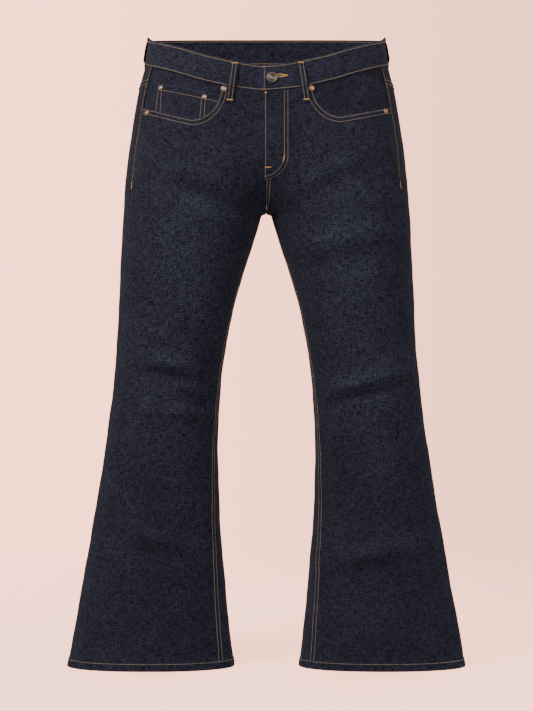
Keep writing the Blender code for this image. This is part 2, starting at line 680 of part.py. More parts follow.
def add_back_pocket(side, name, collection):
    """A plain patch pocket with a pointed foot."""
    turns, heights = back_grid()
    base, lifted = cloth(turns, heights, side), cloth(turns, heights, side, 1.0)
    size = BACK_POCKET
    middle, top, half, half_foot = size.across, size.top, size.width / 2, size.foot_width / 2
    lean = half * size.slope
    inner_top, outer_top = (middle - half, top - lean), (middle + half, top + lean)
    inner_foot, outer_foot = (middle - half_foot, top - size.side), (middle + half_foot, top - size.side)
    point = (middle, top - size.side - size.point)
    outline = (inner_top, inner_foot, point, outer_foot, outer_top)
    cuts = [line_cut(a, b, side) for a, b in zip(outline, outline[1:] + outline[:1])]
    return add_patch(name, base, lifted, cuts, CLOTH, collection)


def add_fly(collection):
    """The fly: the wearer's left front laps over the right, down to a curved foot."""
    grids = {side: front_grid(side) for side in (LEFT, RIGHT)}

    def lapped(lift):
        left, right = (cloth(*grids[side], side, lift) for side in (LEFT, RIGHT))
        points = np.concatenate([right[:, 1::-1], left[:, : SEAM_COLUMNS + 1]], axis=1)
        points[:, 1, 0], points[:, 2, 0] = -GAP / 2, GAP / 2
        return points

    bend_top = FLY_FOOT + FLY_BEND
    top = float(waist_seam(0.0))
    width = FLY_WIDTH - FLY_EDGE
    turns = np.radians([0, 22, 42, 62, 80])
    curve = [(FLY_EDGE + width * math.cos(a), bend_top - FLY_BEND * math.sin(a)) for a in turns]
    outline = [(FLY_EDGE, top), (FLY_EDGE, FLY_FOOT), *reversed(curve), (FLY_WIDTH, top)]
    cuts = [line_cut(a, b, LEFT) for a, b in zip(outline, outline[1:])]
    return add_patch("fly", lapped(0.0), lapped(1.0), cuts, FLY_WALL, collection, mirrored_columns=2)


def waist_turns(side):
    """The turns of the waist seam's own points, from the centre front to the centre back."""
    front = front_grid(side)[0][0, :SEAM_COLUMNS]
    pocket = facing_grid(side)[0][-1]
    return np.concatenate([front, pocket, yoke_grid()[0][-1, 1:]])


def add_waistband(collection):
    """One strip round the waist, from under the wearer's left front to the end that laps over it."""
    left, right = waist_turns(LEFT), waist_turns(RIGHT)
    end = float(turn_across(-LAP_END, BAND_LEVEL))
    way = np.concatenate([left[2:0:-1], -np.maximum(right, 1e-6)[:-1], left[::-1], [-end]])
    side = np.where(way < 0, RIGHT, LEFT)
    turn = np.abs(way)
    across = form(turn, BAND_LEVEL)[:, 0] * side
    share = np.arange(len(way)) / len(way)
    sink = np.where(share < 0.2, smoothstep((across + 2 * LAP_RAMP) / LAP_RAMP), 0) * -LAP
    swell = np.where(share > 0.8, smoothstep((UNDERLAP + LAP_RAMP - across) / LAP_RAMP), 0)
    shift = sink + swell * (BAND_WALL + GAP - LAP) + BAND_PROUD

    def face(lift):
        rows = []
        for down in (0, 0.5, 1):
            height = band_top(turn) - BAND_HEIGHT * down
            crown = BAND_CROWN * (1 - (2 * down - 1) ** 2)
            on_left, on_right = (cloth(turn, height, which, lift + crown) for which in (LEFT, RIGHT))
            rows.append(np.where(side[:, None] > 0, on_left, on_right))
        return np.array(rows)

    return add_wall("waistband", face(shift), face(shift - BAND_WALL), collection)


def add_hem(side, name, collection):
    """The turned hem, a ring round the foot of a leg."""
    turns = spaced(0.0, 4.0, 0.0, HEM_COLUMNS + 1)[:-1]
    heights = np.array([HEM_HEIGHT, 0.0])[:, None]
    grid = np.broadcast_arrays(turns[None, :], heights)
    outer, inner = cloth(*grid, side, HEM_PROUD), cloth(*grid, side, HEM_PROUD - HEM_WALL)
    inner[..., 2], outer[..., 2] = heights - WAIST_HEIGHT, heights - WAIST_HEIGHT
    return add_wall(name, outer, inner, collection, ring=True)


def seat_on(carriers, turn, height, side):
    """The nearest point of the carriers' facets to a place just off the form, and the facet's normal."""
    place, normal, _, _ = carriers.find_nearest(Vector(cloth(turn, height, side, REACH)))
    return place, normal


def facets_of(*items):
    """The facets of the pieces that carry another, to seat it on."""
    points, faces = [], []
    for item in items:
        first = len(points)
        points += [vert.co.copy() for vert in item.data.vertices]
        faces += [[first + i for i in face.vertices] for face in item.data.polygons]
    return BVHTree.FromPolygons(points, faces)


def add_belt_loop(loop, carriers, collection):
    """A strap over the waistband: flat on the cloth at both ends, clear of it between them."""
    down = (0, 0.08, 0.2, 0.38, 0.62, 0.80, 0.92, 1)
    clear = (0, 0, 0.8, 1, 1, 0.7, 0, 0)
    top_turn = turn_across(loop.top_across, WAIST_HEIGHT - BAND_HEIGHT, loop.face)
    top = float(band_top(top_turn)) - LOOP_BELOW_TOP
    inner, outer = [], []
    for share, stand_off in zip(down, clear):
        height = top - LOOP_LENGTH * share
        middle = loop.top_across + (loop.foot_across - loop.top_across) * share
        lift = 2 * GAP + LOOP_STAND_OFF * stand_off
        for sideways in (-LOOP_WIDTH / 2, 0, LOOP_WIDTH / 2):
            if middle == 0:
                side = RIGHT if sideways < 0 else LEFT
                turn = float(turn_across(abs(sideways), height, loop.face))
            else:
                side = loop.side
                turn = float(nudge(turn_across(middle, height, loop.face), height, sideways))
            place, _ = seat_on(carriers, turn, height, side)
            way = Vector(cloth(turn, height, side, 1.0) - cloth(turn, height, side))
            inner.append(place + way * lift)
            outer.append(place + way * (lift + LOOP_WALL))
    shape = (len(down), 3, 3)
    return add_wall(loop.node, np.array(outer).reshape(shape), np.array(inner).reshape(shape), collection)


def turned(name, profile, steps, place, normal, collection, colour):
    """A piece turned round its own axis. Its profile runs from the axis at the top to the axis at the foot."""
    mesh = bpy.data.meshes.new(name)
    mesh.from_pydata([(r, 0, z) for r, z in profile], [(i, i + 1) for i in range(len(profile) - 1)], [])
    item = add_object(name, mesh, collection, colour, 0.4, 1.0)
    screw = item.modifiers.new("Turn", "SCREW")
    screw.steps = screw.render_steps = steps
    screw.use_merge_vertices = True
    screw.merge_threshold = 0.00001
    weld = item.modifiers.new("Weld", "WELD")
    weld.merge_threshold = 0.00001
    item.matrix_world = Matrix.Translation(place) @ normal.to_track_quat("Z", "Y").to_matrix().to_4x4()
    return item


def add_rivet(rivet, collection):
    """A rivet cap on the piece that carries it."""
    radius = rivet.radius
    profile = (
        (0, RIVET_HEIGHT),
        (radius * 0.34, RIVET_HEIGHT * 0.9),
        (radius * 0.45, RIVET_HEIGHT * 0.55),
        (radius * 0.80, RIVET_HEIGHT * 0.6),
        (radius, RIVET_HEIGHT * 0.2),
        (radius * 0.96, 0),
        (0, 0),
    )
    turn = float(turn_across(rivet.across, rivet.height))
    place, normal = seat_on(facets_of(collection.objects[rivet.carrier]), turn, rivet.height, rivet.side)
    return turned(rivet.node, profile, 14, place + normal * GAP, normal, collection, COPPER)


def add_button(collection):
    """The waist button: a cap on a short shank, seated on the lapped end of the waistband."""
    radius = BUTTON_RADIUS
    profile = (
        (0, BUTTON_HEIGHT * 0.88),
        (radius * 0.40, BUTTON_HEIGHT * 0.92),
        (radius * 0.52, BUTTON_HEIGHT * 0.80),
        (radius * 0.80, BUTTON_HEIGHT * 0.86),
        (radius * 0.93, BUTTON_HEIGHT),
        (radius, BUTTON_HEIGHT * 0.80),
        (radius * 0.94, BUTTON_HEIGHT * 0.50),
        (radius * 0.50, BUTTON_HEIGHT * 0.38),
        (radius * 0.45, 0),
        (0, 0),
    )
    across, height = BUTTON_AT
    turn = float(turn_across(across, height))
    place, normal = seat_on(facets_of(collection.objects["waistband"]), turn, height, LEFT)
    return turned("waist_button", profile, 24, place + normal * GAP, normal, collection, METAL_BUTTON)


def main():
    """Build every piece in one collection."""
    for item in list(bpy.data.objects):
        bpy.data.objects.remove(item)
    jeans = bpy.data.collections.new("bootcut_jeans")
    bpy.context.scene.collection.children.link(jeans)
    for side, word in ((LEFT, "left"), (RIGHT, "right")):
        cloth_wall(f"front_{word}", *front_grid(side), side, jeans)
        cloth_wall(f"back_{word}", *back_grid(), side, jeans)
        cloth_wall(f"yoke_{word}", *yoke_grid(), side, jeans)
        add_facing(side, f"pocket_facing_{word}", jeans)
        add_back_pocket(side, f"back_pocket_{word}", jeans)
        add_hem(side, f"hem_{word}", jeans)
    add_coin_pocket(jeans)
    add_fly(jeans)
    add_waistband(jeans)
    carriers = ("waistband", "front_", "yoke_", "back_left", "back_right")
    under_loops = [item for item in jeans.objects if item.name.startswith(carriers)]
    for loop in BELT_LOOPS:
        add_belt_loop(loop, facets_of(*under_loops), jeans)
    for rivet in RIVETS:
        add_rivet(rivet, jeans)
    add_button(jeans)


main()
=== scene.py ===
"""Bootcut jeans in dark indigo twill, filled out with no wearer, legs apart.

Every cloth piece is a thin closed shell laid on one form, which is the wearer's left half of the garment
and its mirror image. A place on the form is a turn round it (0 inner front, 1 front crease, 2 side, 3 seat,
4 inner back) and a height above the hems. The front faces -Y and the wearer's left is +X.
"""

import logging
import math
from dataclasses import dataclass, field
from enum import Enum
from typing import ClassVar, Iterable, Sequence

import bpy
import numpy as np
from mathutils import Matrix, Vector


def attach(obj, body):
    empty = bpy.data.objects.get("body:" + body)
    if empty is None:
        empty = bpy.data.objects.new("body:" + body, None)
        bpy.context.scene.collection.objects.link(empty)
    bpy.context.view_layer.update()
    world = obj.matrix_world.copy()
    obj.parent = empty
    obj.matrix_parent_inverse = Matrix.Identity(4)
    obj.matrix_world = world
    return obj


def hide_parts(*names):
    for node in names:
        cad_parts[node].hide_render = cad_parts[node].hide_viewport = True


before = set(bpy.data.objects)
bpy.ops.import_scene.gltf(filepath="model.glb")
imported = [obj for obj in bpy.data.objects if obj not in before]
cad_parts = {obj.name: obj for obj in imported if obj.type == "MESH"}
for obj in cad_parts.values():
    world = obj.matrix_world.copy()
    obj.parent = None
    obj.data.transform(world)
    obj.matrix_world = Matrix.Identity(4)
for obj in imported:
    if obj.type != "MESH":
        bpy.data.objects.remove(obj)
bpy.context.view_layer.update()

LOG = logging.getLogger("jeans")
Array = np.ndarray
Triple = tuple[float, float, float]

WAIST_HEIGHT = 1.030
GAP = 0.0003
SEAM = -0.0002
CLOTH = 0.0012
HEM_HEIGHT = 0.014
CROTCH_HEIGHT = 0.7455
BAND_LEVEL = 0.960
YOKE_CORNER = 0.9495
MOUTH_END = 0.915
STITCH_LIFT = 0.0002
SIDE_STITCH = 0.0017
CREASE_GAIN = 1.80

# height, outer, inner, crease, seat, front, back, middle
SECTIONS = (
    (0.000, 0.3280, 0.0530, 0.190, 0.190, -0.064, 0.066, 0.000),
    (0.041, 0.3209, 0.0582, 0.190, 0.190, -0.064, 0.066, 0.000),
    (0.107, 0.3085, 0.0653, 0.187, 0.187, -0.064, 0.067, 0.000),
    (0.173, 0.2967, 0.0715, 0.184, 0.184, -0.064, 0.068, 0.000),
    (0.239, 0.2852, 0.0762, 0.181, 0.181, -0.064, 0.069, 0.000),
    (0.305, 0.2741, 0.0791, 0.177, 0.177, -0.065, 0.070, 0.000),
    (0.371, 0.2640, 0.0794, 0.172, 0.171, -0.067, 0.072, 0.000),
    (0.437, 0.2551, 0.0765, 0.166, 0.165, -0.071, 0.075, 0.000),
    (0.512, 0.2477, 0.0686, 0.158, 0.156, -0.078, 0.082, 0.000),
    (0.586, 0.2435, 0.0548, 0.148, 0.146, -0.085, 0.090, -0.001),
    (0.652, 0.2407, 0.0357, 0.138, 0.135, -0.091, 0.100, -0.003),
    (0.701, 0.2379, 0.0198, 0.129, 0.124, -0.096, 0.110, -0.006),
    (0.741, 0.2353, 0.0080, 0.120, 0.114, -0.100, 0.119, -0.008),
    (0.784, 0.2321, 0.0060, 0.110, 0.105, -0.104, 0.126, -0.006),
    (0.850, 0.2256, 0.0060, 0.092, 0.094, -0.107, 0.128, -0.002),
    (0.908, 0.2171, 0.0060, 0.074, 0.082, -0.106, 0.122, 0.001),
    (0.949, 0.2098, 0.0060, 0.060, 0.068, -0.102, 0.113, 0.002),
    (0.982, 0.2013, 0.0060, 0.050, 0.056, -0.097, 0.105, 0.002),
    (1.007, 0.1967, 0.0060, 0.044, 0.050, -0.094, 0.100, 0.002),
    (1.055, 0.1910, 0.0060, 0.040, 0.046, -0.090, 0.095, 0.002),
)
SECTION_FIELDS = ("height", "outer", "inner", "crease", "seat", "front", "back", "middle")
# height, inset of the inseam from the leg's inner edge
INSEAM = (
    (0, 0.0150), (0.12, 0.0105), (0.248, 0.0066), (0.38, 0.0035), (0.508, 0.0017), (0.62, 0.0008), (0.7455, 0.0002),
)
# share across, share of the front dip that the waistband's top edge has there
BAND_DIP = (
    (0.00, 1.000), (0.22, 0.912), (0.30, 0.854), (0.40, 0.775), (0.52, 0.665),
    (0.66, 0.500), (0.79, 0.345), (0.90, 0.205), (0.97, 0.093), (1.00, 0.000),
)


class Side(Enum):
    """The wearer's left or right half, as the sign of X."""

    LEFT = 1
    RIGHT = -1

    @property
    def word(self) -> str:
        """The side's name in piece and node names."""
        return self.name.lower()


class Face(Enum):
    """The front or the back of the garment."""

    FRONT = "front"
    BACK = "back"


@dataclass(frozen=True)
class Crease:
    """A soft ridge (depth above 0) or trough across one face of one leg, seen from the front."""

    side: Side
    face: Face
    across: float
    height: float
    tilt: float
    length: float
    width: float
    depth: float
    bow: float = 0.0


L, R, F, B = Side.LEFT, Side.RIGHT, Face.FRONT, Face.BACK
CREASES = tuple(
    Crease(*row)
    for row in (
        (R, F, 0.155, 0.498, 14, 0.042, 0.010, 0.0034),
        (R, F, 0.163, 0.478, 10, 0.048, 0.009, -0.0034),
        (R, F, 0.119, 0.440, 36, 0.020, 0.009, -0.0020),
        (R, F, 0.147, 0.420, 8, 0.042, 0.011, 0.0026),
        (R, F, 0.165, 0.215, 16, 0.058, 0.013, 0.0032),
        (R, F, 0.172, 0.190, 14, 0.050, 0.013, -0.0024),
        (R, F, 0.105, 0.742, 20, 0.045, 0.017, 0.0026),
        (R, F, 0.120, 0.800, 24, 0.060, 0.013, 0.0020),
        (R, F, 0.110, 0.770, 22, 0.055, 0.012, -0.0020),
        (L, F, 0.118, 0.697, 11, 0.078, 0.015, 0.0030),
        (L, F, 0.125, 0.664, 10, 0.070, 0.015, -0.0024),
        (L, F, 0.164, 0.471, 14, 0.058, 0.012, 0.0036),
        (L, F, 0.168, 0.448, 12, 0.055, 0.011, -0.0032),
        (L, F, 0.173, 0.194, 11, 0.078, 0.014, 0.0032),
        (L, F, 0.176, 0.168, 10, 0.060, 0.013, -0.0022),
        (L, F, 0.115, 0.812, 26, 0.060, 0.013, 0.0022),
        (L, F, 0.100, 0.778, 24, 0.055, 0.012, -0.0020),
        (R, B, 0.150, 0.508, -8, 0.060, 0.012, 0.0036),
        (R, B, 0.160, 0.484, -6, 0.060, 0.011, -0.0040),
        (R, B, 0.160, 0.452, 8, 0.055, 0.012, 0.0032),
        (R, B, 0.120, 0.700, -14, 0.070, 0.016, -0.0030),
        (L, B, 0.158, 0.500, 9, 0.064, 0.012, 0.0036),
        (L, B, 0.150, 0.476, 7, 0.058, 0.011, -0.0038),
        (L, B, 0.165, 0.440, -8, 0.056, 0.012, 0.0030),
        (L, B, 0.118, 0.694, -12, 0.070, 0.016, -0.0030),
    )
)


def smoothstep(value: Array) -> Array:
    """Smooth step from 0 to 1."""
    value = np.clip(value, 0, 1)
    return value * value * (3 - 2 * value)


def falloff(distance: Array, reach: float) -> Array:
    """A bell curve: 1 where the distance is 0, and small beyond the reach."""
    return np.exp(-((distance / reach) ** 2))


def curve_through(at: Array, rows: Array, values: Array) -> Array:
    """Smooth curve through the rows of a table.

    Args:
        at: Where it is read.
        rows: The table's first column, rising.
        values: What it holds at those rows.

    Returns:
        The values read.
    """
    rows, values = np.asarray(rows, float), np.asarray(values, float)
    slope = np.gradient(values, rows)
    i = np.clip(np.searchsorted(rows, at) - 1, 0, len(rows) - 2)
    step = rows[i + 1] - rows[i]
    t = np.clip((at - rows[i]) / step, 0, 1)
    start = (1 + 2 * t) * (1 - t) ** 2 * values[i] + t * (1 - t) ** 2 * step * slope[i]
    return start + t * t * (3 - 2 * t) * values[i + 1] + t * t * (t - 1) * step * slope[i + 1]


def crowded(count: int, pull: float = 0.62) -> Array:
    """Shares from 0 to 1 that lie closer together near both ends, where the seams are."""
    even = np.linspace(0, 1, count)
    return even - pull * np.sin(2 * math.pi * even) / (2 * math.pi)


@dataclass(frozen=True)
class JeansForm:
    """The smooth form that all the cloth lies on, with its seams and pocket mouths."""

    crotch_round: float = 0.006
    front_bend: float = 0.090
    back_bend: float = 0.120
    rise_blend: float = 0.160
    roundness: float = 2.2
    side_inset: float = 0.0130
    hip_inset: float = 0.0165
    band_height: float = 0.042
    band_dip: float = 0.0577
    band_tilt: float = 0.205
    yoke_side: float = 0.9490
    yoke_centre: float = 0.9270
    scoop_side: float = 0.202
    low_across: float = 0.118
    climb_power: float = 1.2

    def column(self, name: str, height: Array) -> Array:
        """One column of the sections' table, at these heights."""
        rows = np.array(SECTIONS)
        return curve_through(height, rows[:, 0], rows[:, SECTION_FIELDS.index(name)])

    def inner_edge(self, height: Array) -> Array:
        """Half the gap between the legs, rounded off where it closes at the crotch."""
        depth = np.clip((CROTCH_HEIGHT - height) / self.crotch_round, 0, 1)
        return self.column("inner", height) * np.sqrt(1 - (1 - depth) ** 2) + GAP / 2

    def rise(self, height: Array, bend: float) -> Array:
        """How far a rise seam has come from the crotch to the front or back, 0 to 1."""
        climbed = np.clip((height - CROTCH_HEIGHT) / bend, 0, 1)
        return np.minimum(np.sqrt(1 - (1 - climbed) ** 2), 0.985)

    def inner_quarter(
        self, share: Array, height: Array, crease: Array, depth: Array, bend: float
    ) -> tuple[Array, Array]:
        """The quarter of a section from its inner end (share 0) to its crease (share 1)."""
        inner, middle = self.inner_edge(height), self.column("middle", height)
        risen = self.rise(height, bend)
        start = np.arcsin(risen ** (self.roundness / 2))
        turn = start + (math.pi / 2 - start) * share
        along = np.clip(np.cos(turn) / np.cos(start), 0, 1) ** (2 / self.roundness)
        x = crease - (crease - inner) * along
        y = middle + (depth - middle) * np.sin(turn) ** (2 / self.roundness)
        y_start = middle + (depth - middle) * risen
        y_flat = y_start + (depth - y_start) * smoothstep((x - inner) / (crease - inner))
        return x, y + (y_flat - y) * smoothstep((height - CROTCH_HEIGHT) / self.rise_blend)

    def outer_quarter(self, share: Array, height: Array, crease: Array, depth: Array) -> tuple[Array, Array]:
        """The quarter of a section from its crease (share 0) to its outermost point (share 1)."""
        outer, middle = self.column("outer", height), self.column("middle", height)
        turn = share * math.pi / 2
        x = crease + (outer - crease) * np.sin(turn) ** (2 / self.roundness)
        return x, middle + (depth - middle) * np.clip(np.cos(turn), 0, 1) ** (2 / self.roundness)

    def point(self, turn: Array, height: Array) -> Array:
        """Points of the form, wearer's left half, with Z above the hems."""
        turn, height = np.broadcast_arrays(np.asarray(turn, float), np.asarray(height, float))
        turn = np.where(height < CROTCH_HEIGHT, turn % 4, np.clip(turn, 0, 4))
        front, back = self.column("front", height), self.column("back", height)
        crease, seat = self.column("crease", height), self.column("seat", height)
        quarters = (
            self.inner_quarter(np.clip(turn, 0, 1), height, crease, front, self.front_bend),
            self.outer_quarter(np.clip(turn - 1, 0, 1), height, crease, front),
            self.outer_quarter(np.clip(3 - turn, 0, 1), height, seat, back),
            self.inner_quarter(np.clip(4 - turn, 0, 1), height, seat, back, self.back_bend),
        )
        which = np.clip(turn.astype(int), 0, 3)
        x = np.choose(which, [q[0] for q in quarters])
        y = np.choose(which, [q[1] for q in quarters])
        return np.stack([x, y, height], -1)

    def outward(self, turn: Array, height: Array) -> Array:
        """Outward normals of the form, wearer's left half."""
        step = 0.004
        low, high = turn - step, turn + step
        above = height >= CROTCH_HEIGHT
        low, high = np.where(above, np.maximum(low, 0), low), np.where(above, np.minimum(high, 4), high)
        along = self.point(high, height) - self.point(low, height)
        up = self.point(turn, height + step / 4) - self.point(turn, height - step / 4)
        normal = np.cross(along, up)
        return normal / np.maximum(np.linalg.norm(normal, axis=-1, keepdims=True), 1e-12)

    def turn_across(self, across: Array, height: Array, face: Face = Face.FRONT) -> Array:
        """The turn at which a section reaches a distance across, on its front or back."""
        is_front = face is Face.FRONT
        crease = self.column("crease" if is_front else "seat", height)
        bend = self.front_bend if is_front else self.back_bend
        outer, inner = self.column("outer", height), self.inner_edge(height)
        start = np.arcsin(self.rise(height, bend) ** (self.roundness / 2))
        inwards = np.clip((crease - across) / (crease - inner), 0, 1) ** (self.roundness / 2)
        near = (np.arccos(np.clip(np.cos(start) * inwards, 0, 1)) - start) / (math.pi / 2 - start)
        outwards = np.clip((across - crease) / (outer - crease), 0, 1) ** (self.roundness / 2)
        far = 1 + np.arcsin(outwards) * 2 / math.pi
        turn = np.where(across < crease, near, far)
        return turn if is_front else 4 - turn

    def side_seam(self, height: Array) -> Array:
        """Turns of the side seam, a little in front of the outermost line, and more so at the hip."""
        at_hip = smoothstep((np.asarray(height) - 0.70) / 0.10)
        inset = self.side_inset + (self.hip_inset - self.side_inset) * at_hip
        return self.turn_across(self.column("outer", height) - inset, height)

    def inseam(self, height: Array) -> Array:
        """Turns of the inseam, 0 above the crotch."""
        inset = curve_through(height, [row[0] for row in INSEAM], [row[1] for row in INSEAM])
        below = np.minimum(height, CROTCH_HEIGHT - 0.0005)
        return np.where(height < CROTCH_HEIGHT, self.turn_across(self.inner_edge(below) + inset, below), 0.0)

    def band_top(self, turn: Array) -> Array:
        """Height of the waistband's top edge: it dips to the centre front and tilts up to the centre back."""
        across = self.point(turn, BAND_LEVEL)[..., 0] / self.column("outer", np.array(BAND_LEVEL))
        rows = np.array(BAND_DIP)
        dip = self.band_dip * curve_through(np.clip(across, 0, 1), rows[:, 0], rows[:, 1])
        climb = self.band_tilt * np.clip(self.point(turn, WAIST_HEIGHT)[..., 1], 0, None)
        return WAIST_HEIGHT + np.where(np.asarray(turn) < 2, -dip, climb)

    def waist_seam(self, turn: Array) -> Array:
        """Height of the seam under the waistband."""
        return self.band_top(turn) - self.band_height

    def seam_turn(self, across: Array) -> Array:
        """The turn at which the waist seam is this far across the front."""
        turn = self.turn_across(across, np.array(WAIST_HEIGHT - 2 * self.band_height))
        for _ in range(6):
            turn = self.turn_across(across, self.waist_seam(turn))
        return turn

    def yoke_seam(self, turn: Array) -> Array:
        """Height of the yoke seam, which drops from the side seam to the centre back."""
        share = np.clip((np.asarray(turn) - 1.8) / 2.2, 0, 1) ** 0.9
        return self.yoke_side + (self.yoke_centre - self.yoke_side) * share

    def scoop_height(self, across: Array, side: Side, widen: float = 0.0) -> Array:
        """Height of a pocket mouth at a distance across, or of the line this far outside it."""
        start, drop, climb = SCOOPS[side]
        top = self.waist_seam(self.seam_turn(start)) - GAP
        low = top - drop
        reach = self.low_across - start + widen
        arc = np.sqrt(np.clip(1 - ((self.low_across - across) / reach) ** 2, 0, 1))
        climbed = np.clip((across - self.low_across) / (self.scoop_side - self.low_across), 0, 1)
        outer = low + climb * climbed**self.climb_power
        return np.where(across < self.low_across, top - (drop + widen) * arc, outer - widen)

    def spaced(self, start: float, end: float, height: float, shares: Array) -> Array:
        """Turns of one row at these shares of the cloth's length between two turns."""
        fine = np.linspace(start, end, 129)
        steps = np.linalg.norm(np.diff(self.point(fine, height), axis=0), axis=1)
        length = np.concatenate([[0], np.cumsum(steps)])
        return np.interp(np.asarray(shares) * length[-1], length, fine)

    def nudge(self, turn: Array, height: Array, distance: Array) -> Array:
        """A turn moved by a distance along the cloth."""
        speed = np.linalg.norm(self.point(turn + 0.01, height) - self.point(turn - 0.01, height), axis=-1) / 0.02
        return turn + distance / np.maximum(speed, 0.02)


# Where each pocket mouth starts across the waist seam, how deep it is, and how far it climbs to the side.
SCOOPS = {Side.RIGHT: (0.0725, 0.0535, 0.0260), Side.LEFT: (0.0740, 0.0490, 0.0215)}
FORM = JeansForm()


@dataclass
class SeamLine:
    """A sewn line that welts or gathers the cloth beside it.

    Attributes:
        path: Its points, on the form.
        welt: How far the cloth stands up beside it.
        welt_reach: How wide the welt is.
        pucker: How deep the gathers are.
        spacing: How far apart the gathers are.
        reach: How far the gathers run from the line.
        groove: How far the cloth sinks into the line itself.
        seed: Where its waves start.
        rub: How far the edge on the line is rubbed pale.
    """

    path: Array
    welt: float = 0.0
    welt_reach: float = 0.010
    pucker: float = 0.00025
    spacing: float = 0.0095
    reach: float = 0.007
    groove: float = 0.0004
    seed: float = 0.0
    rub: float = 0.0

    def shift(self, points: Array) -> tuple[Array, Array]:
        """How far it moves the cloth at these points.

        Args:
            points: Points of the form, in any shape of array.

        Returns:
            The shift outwards and the wear, from 0 to 1, that it brings.
        """
        flat = points.reshape(-1, 3)
        steps = np.linalg.norm(np.diff(self.path, axis=0), axis=1)
        run = np.concatenate([[0], np.cumsum(steps)])
        distance = np.full(len(flat), 1.0)
        along = np.zeros(len(flat))
        for first in range(0, len(flat), 4000):
            chunk = slice(first, first + 4000)
            gaps = flat[chunk, None, :] - self.path[None, :, :]
            reach = np.einsum("ijk,ijk->ij", gaps, gaps)
            best = reach.argmin(1)
            distance[chunk] = self.to_segments(flat[chunk], best)
            along[chunk] = run[best]
        drift = 1.7 * np.sin(2 * math.pi * along / (self.spacing * 4.3) + self.seed)
        wave = np.sin(2 * math.pi * along / self.spacing + drift)
        swell = 0.6 + 0.4 * np.sin(2 * math.pi * along / (self.spacing * 7.1) + 2 * self.seed)
        fall = falloff(distance, self.reach)
        gathers = self.pucker * wave * swell * fall
        raised = self.welt * smoothstep((self.welt_reach - distance) / 0.0012)
        sunk = self.groove * falloff(distance, 0.0008)
        wear = (0.25 + 0.65 * np.clip(wave, 0, 1) * swell) * falloff(distance, (0.8 * self.reach))
        wear += self.rub * (0.75 + 0.45 * wave) * falloff(distance, 0.0011)
        return (gathers + raised - sunk).reshape(points.shape[:-1]), wear.reshape(points.shape[:-1])

    def to_segments(self, flat: Array, best: Array) -> Array:
        """Distances to the two stretches of the path beside each nearest point."""
        result = np.full(len(flat), 9.0)
        for step in (-1, 0):
            i = np.clip(best + step, 0, len(self.path) - 2)
            start, way = self.path[i], self.path[i + 1] - self.path[i]
            share = np.einsum("ij,ij->i", flat - start, way)
            share = share / np.maximum(np.einsum("ij,ij->i", way, way), 1e-12)
            foot = start + way * np.clip(share, 0, 1)[:, None]
            result = np.minimum(result, np.linalg.norm(flat - foot, axis=1))
        return result


@dataclass
class Cloth:
    """The cloth of one piece: the form, the creases that cross it and the seams that bound it."""

    side: Side
    seams: list[SeamLine] = field(default_factory=list)

    def crease_depth(self, points: Array) -> Array:
        """How far the creases of this side lift or sink the cloth at points of the form."""
        depth = np.zeros(points.shape[:-1])
        for crease in CREASES:
            if crease.side is not self.side:
                continue
            lean = math.radians(crease.tilt)
            x, z = points[..., 0] - crease.across, points[..., 2] - crease.height
            along = (x * math.cos(lean) + z * math.sin(lean)) / crease.length
            over = (z * math.cos(lean) - x * math.sin(lean) - crease.bow * along**2) / crease.width
            reach = FORM.column(crease.face.value, points[..., 2])
            depth += crease.depth * np.exp(-(along**2) - over**2) * smoothstep(2.5 * points[..., 1] / reach)
        return depth

    @staticmethod
    def fade(points: Array, outward: Array) -> Array:
        """The broad fades over the thighs and the knees."""
        x, z = points[..., 0], points[..., 2]
        thigh = np.exp(-(((x - 0.125) / 0.070) ** 2) - ((z - 0.70) / 0.15) ** 2)
        knee = np.exp(-(((x - 0.160) / 0.060) ** 2) - ((z - 0.46) / 0.10) ** 2)
        return (1.05 * thigh + 0.65 * knee) * np.abs(outward[..., 1]) ** 1.5

    def sway(self, points: Array) -> Array:
        """The slow unevenness of cloth that nothing stretches."""
        x, y, z = points[..., 0] * self.side.value, points[..., 1], points[..., 2]
        waves = (
            np.sin(31 * z + 23 * x + 1.0) * np.sin(17 * z - 29 * x + 9 * y + 0.4)
            + 0.7 * np.sin(67 * z - 41 * x + 2.1) * np.sin(35 * z + 53 * x + 31 * y)
            + 0.35 * np.sin(131 * z + 97 * x - 60 * y) * np.sin(83 * z - 71 * x + 1.3)
        )
        calm = smoothstep((0.93 - z) / 0.12)
        return 0.00055 * waves * (0.25 + 0.75 * calm)

    def surface(self, turn: Array, height: Array, lift: Array = 0.0) -> tuple[Array, Array, Array]:
        """The cloth's outer face.

        Args:
            turn: Turns round the form.
            height: Heights above the hems.
            lift: How far it is lifted off.

        Returns:
            Points and outward directions in the garment's frame, and the wear there, which also paints crease ridges
            paler, partly as wear and partly as painted highlight, and crease troughs darker as painted shade.
        """
        turn, height = np.broadcast_arrays(np.asarray(turn, float), np.asarray(height, float))
        base = FORM.point(turn, height)
        outward = FORM.outward(turn, height)
        creases = CREASE_GAIN * self.crease_depth(base)
        shift = creases + self.sway(base)
        # Painted highlight and shade: crease ridges are made paler, partly as wear and partly as painted highlight,
        # and crease troughs darker as painted shade.
        wear = np.clip(creases / 0.0055, -1, 1) * 0.48 + self.fade(base, outward)
        for seam in self.seams:
            moved, worn = seam.shift(base)
            shift = shift + moved
            wear = wear + worn
        points = base + outward * (shift + lift)[..., None]
        closing = (GAP / 2 + 0.0001) * falloff(base[..., 0], 0.003)
        points[..., 0] -= np.where(height > CROTCH_HEIGHT, closing, 0)
        mirror = np.array([self.side.value, 1, 1])
        return points * mirror - (0, 0, WAIST_HEIGHT), outward * mirror, wear


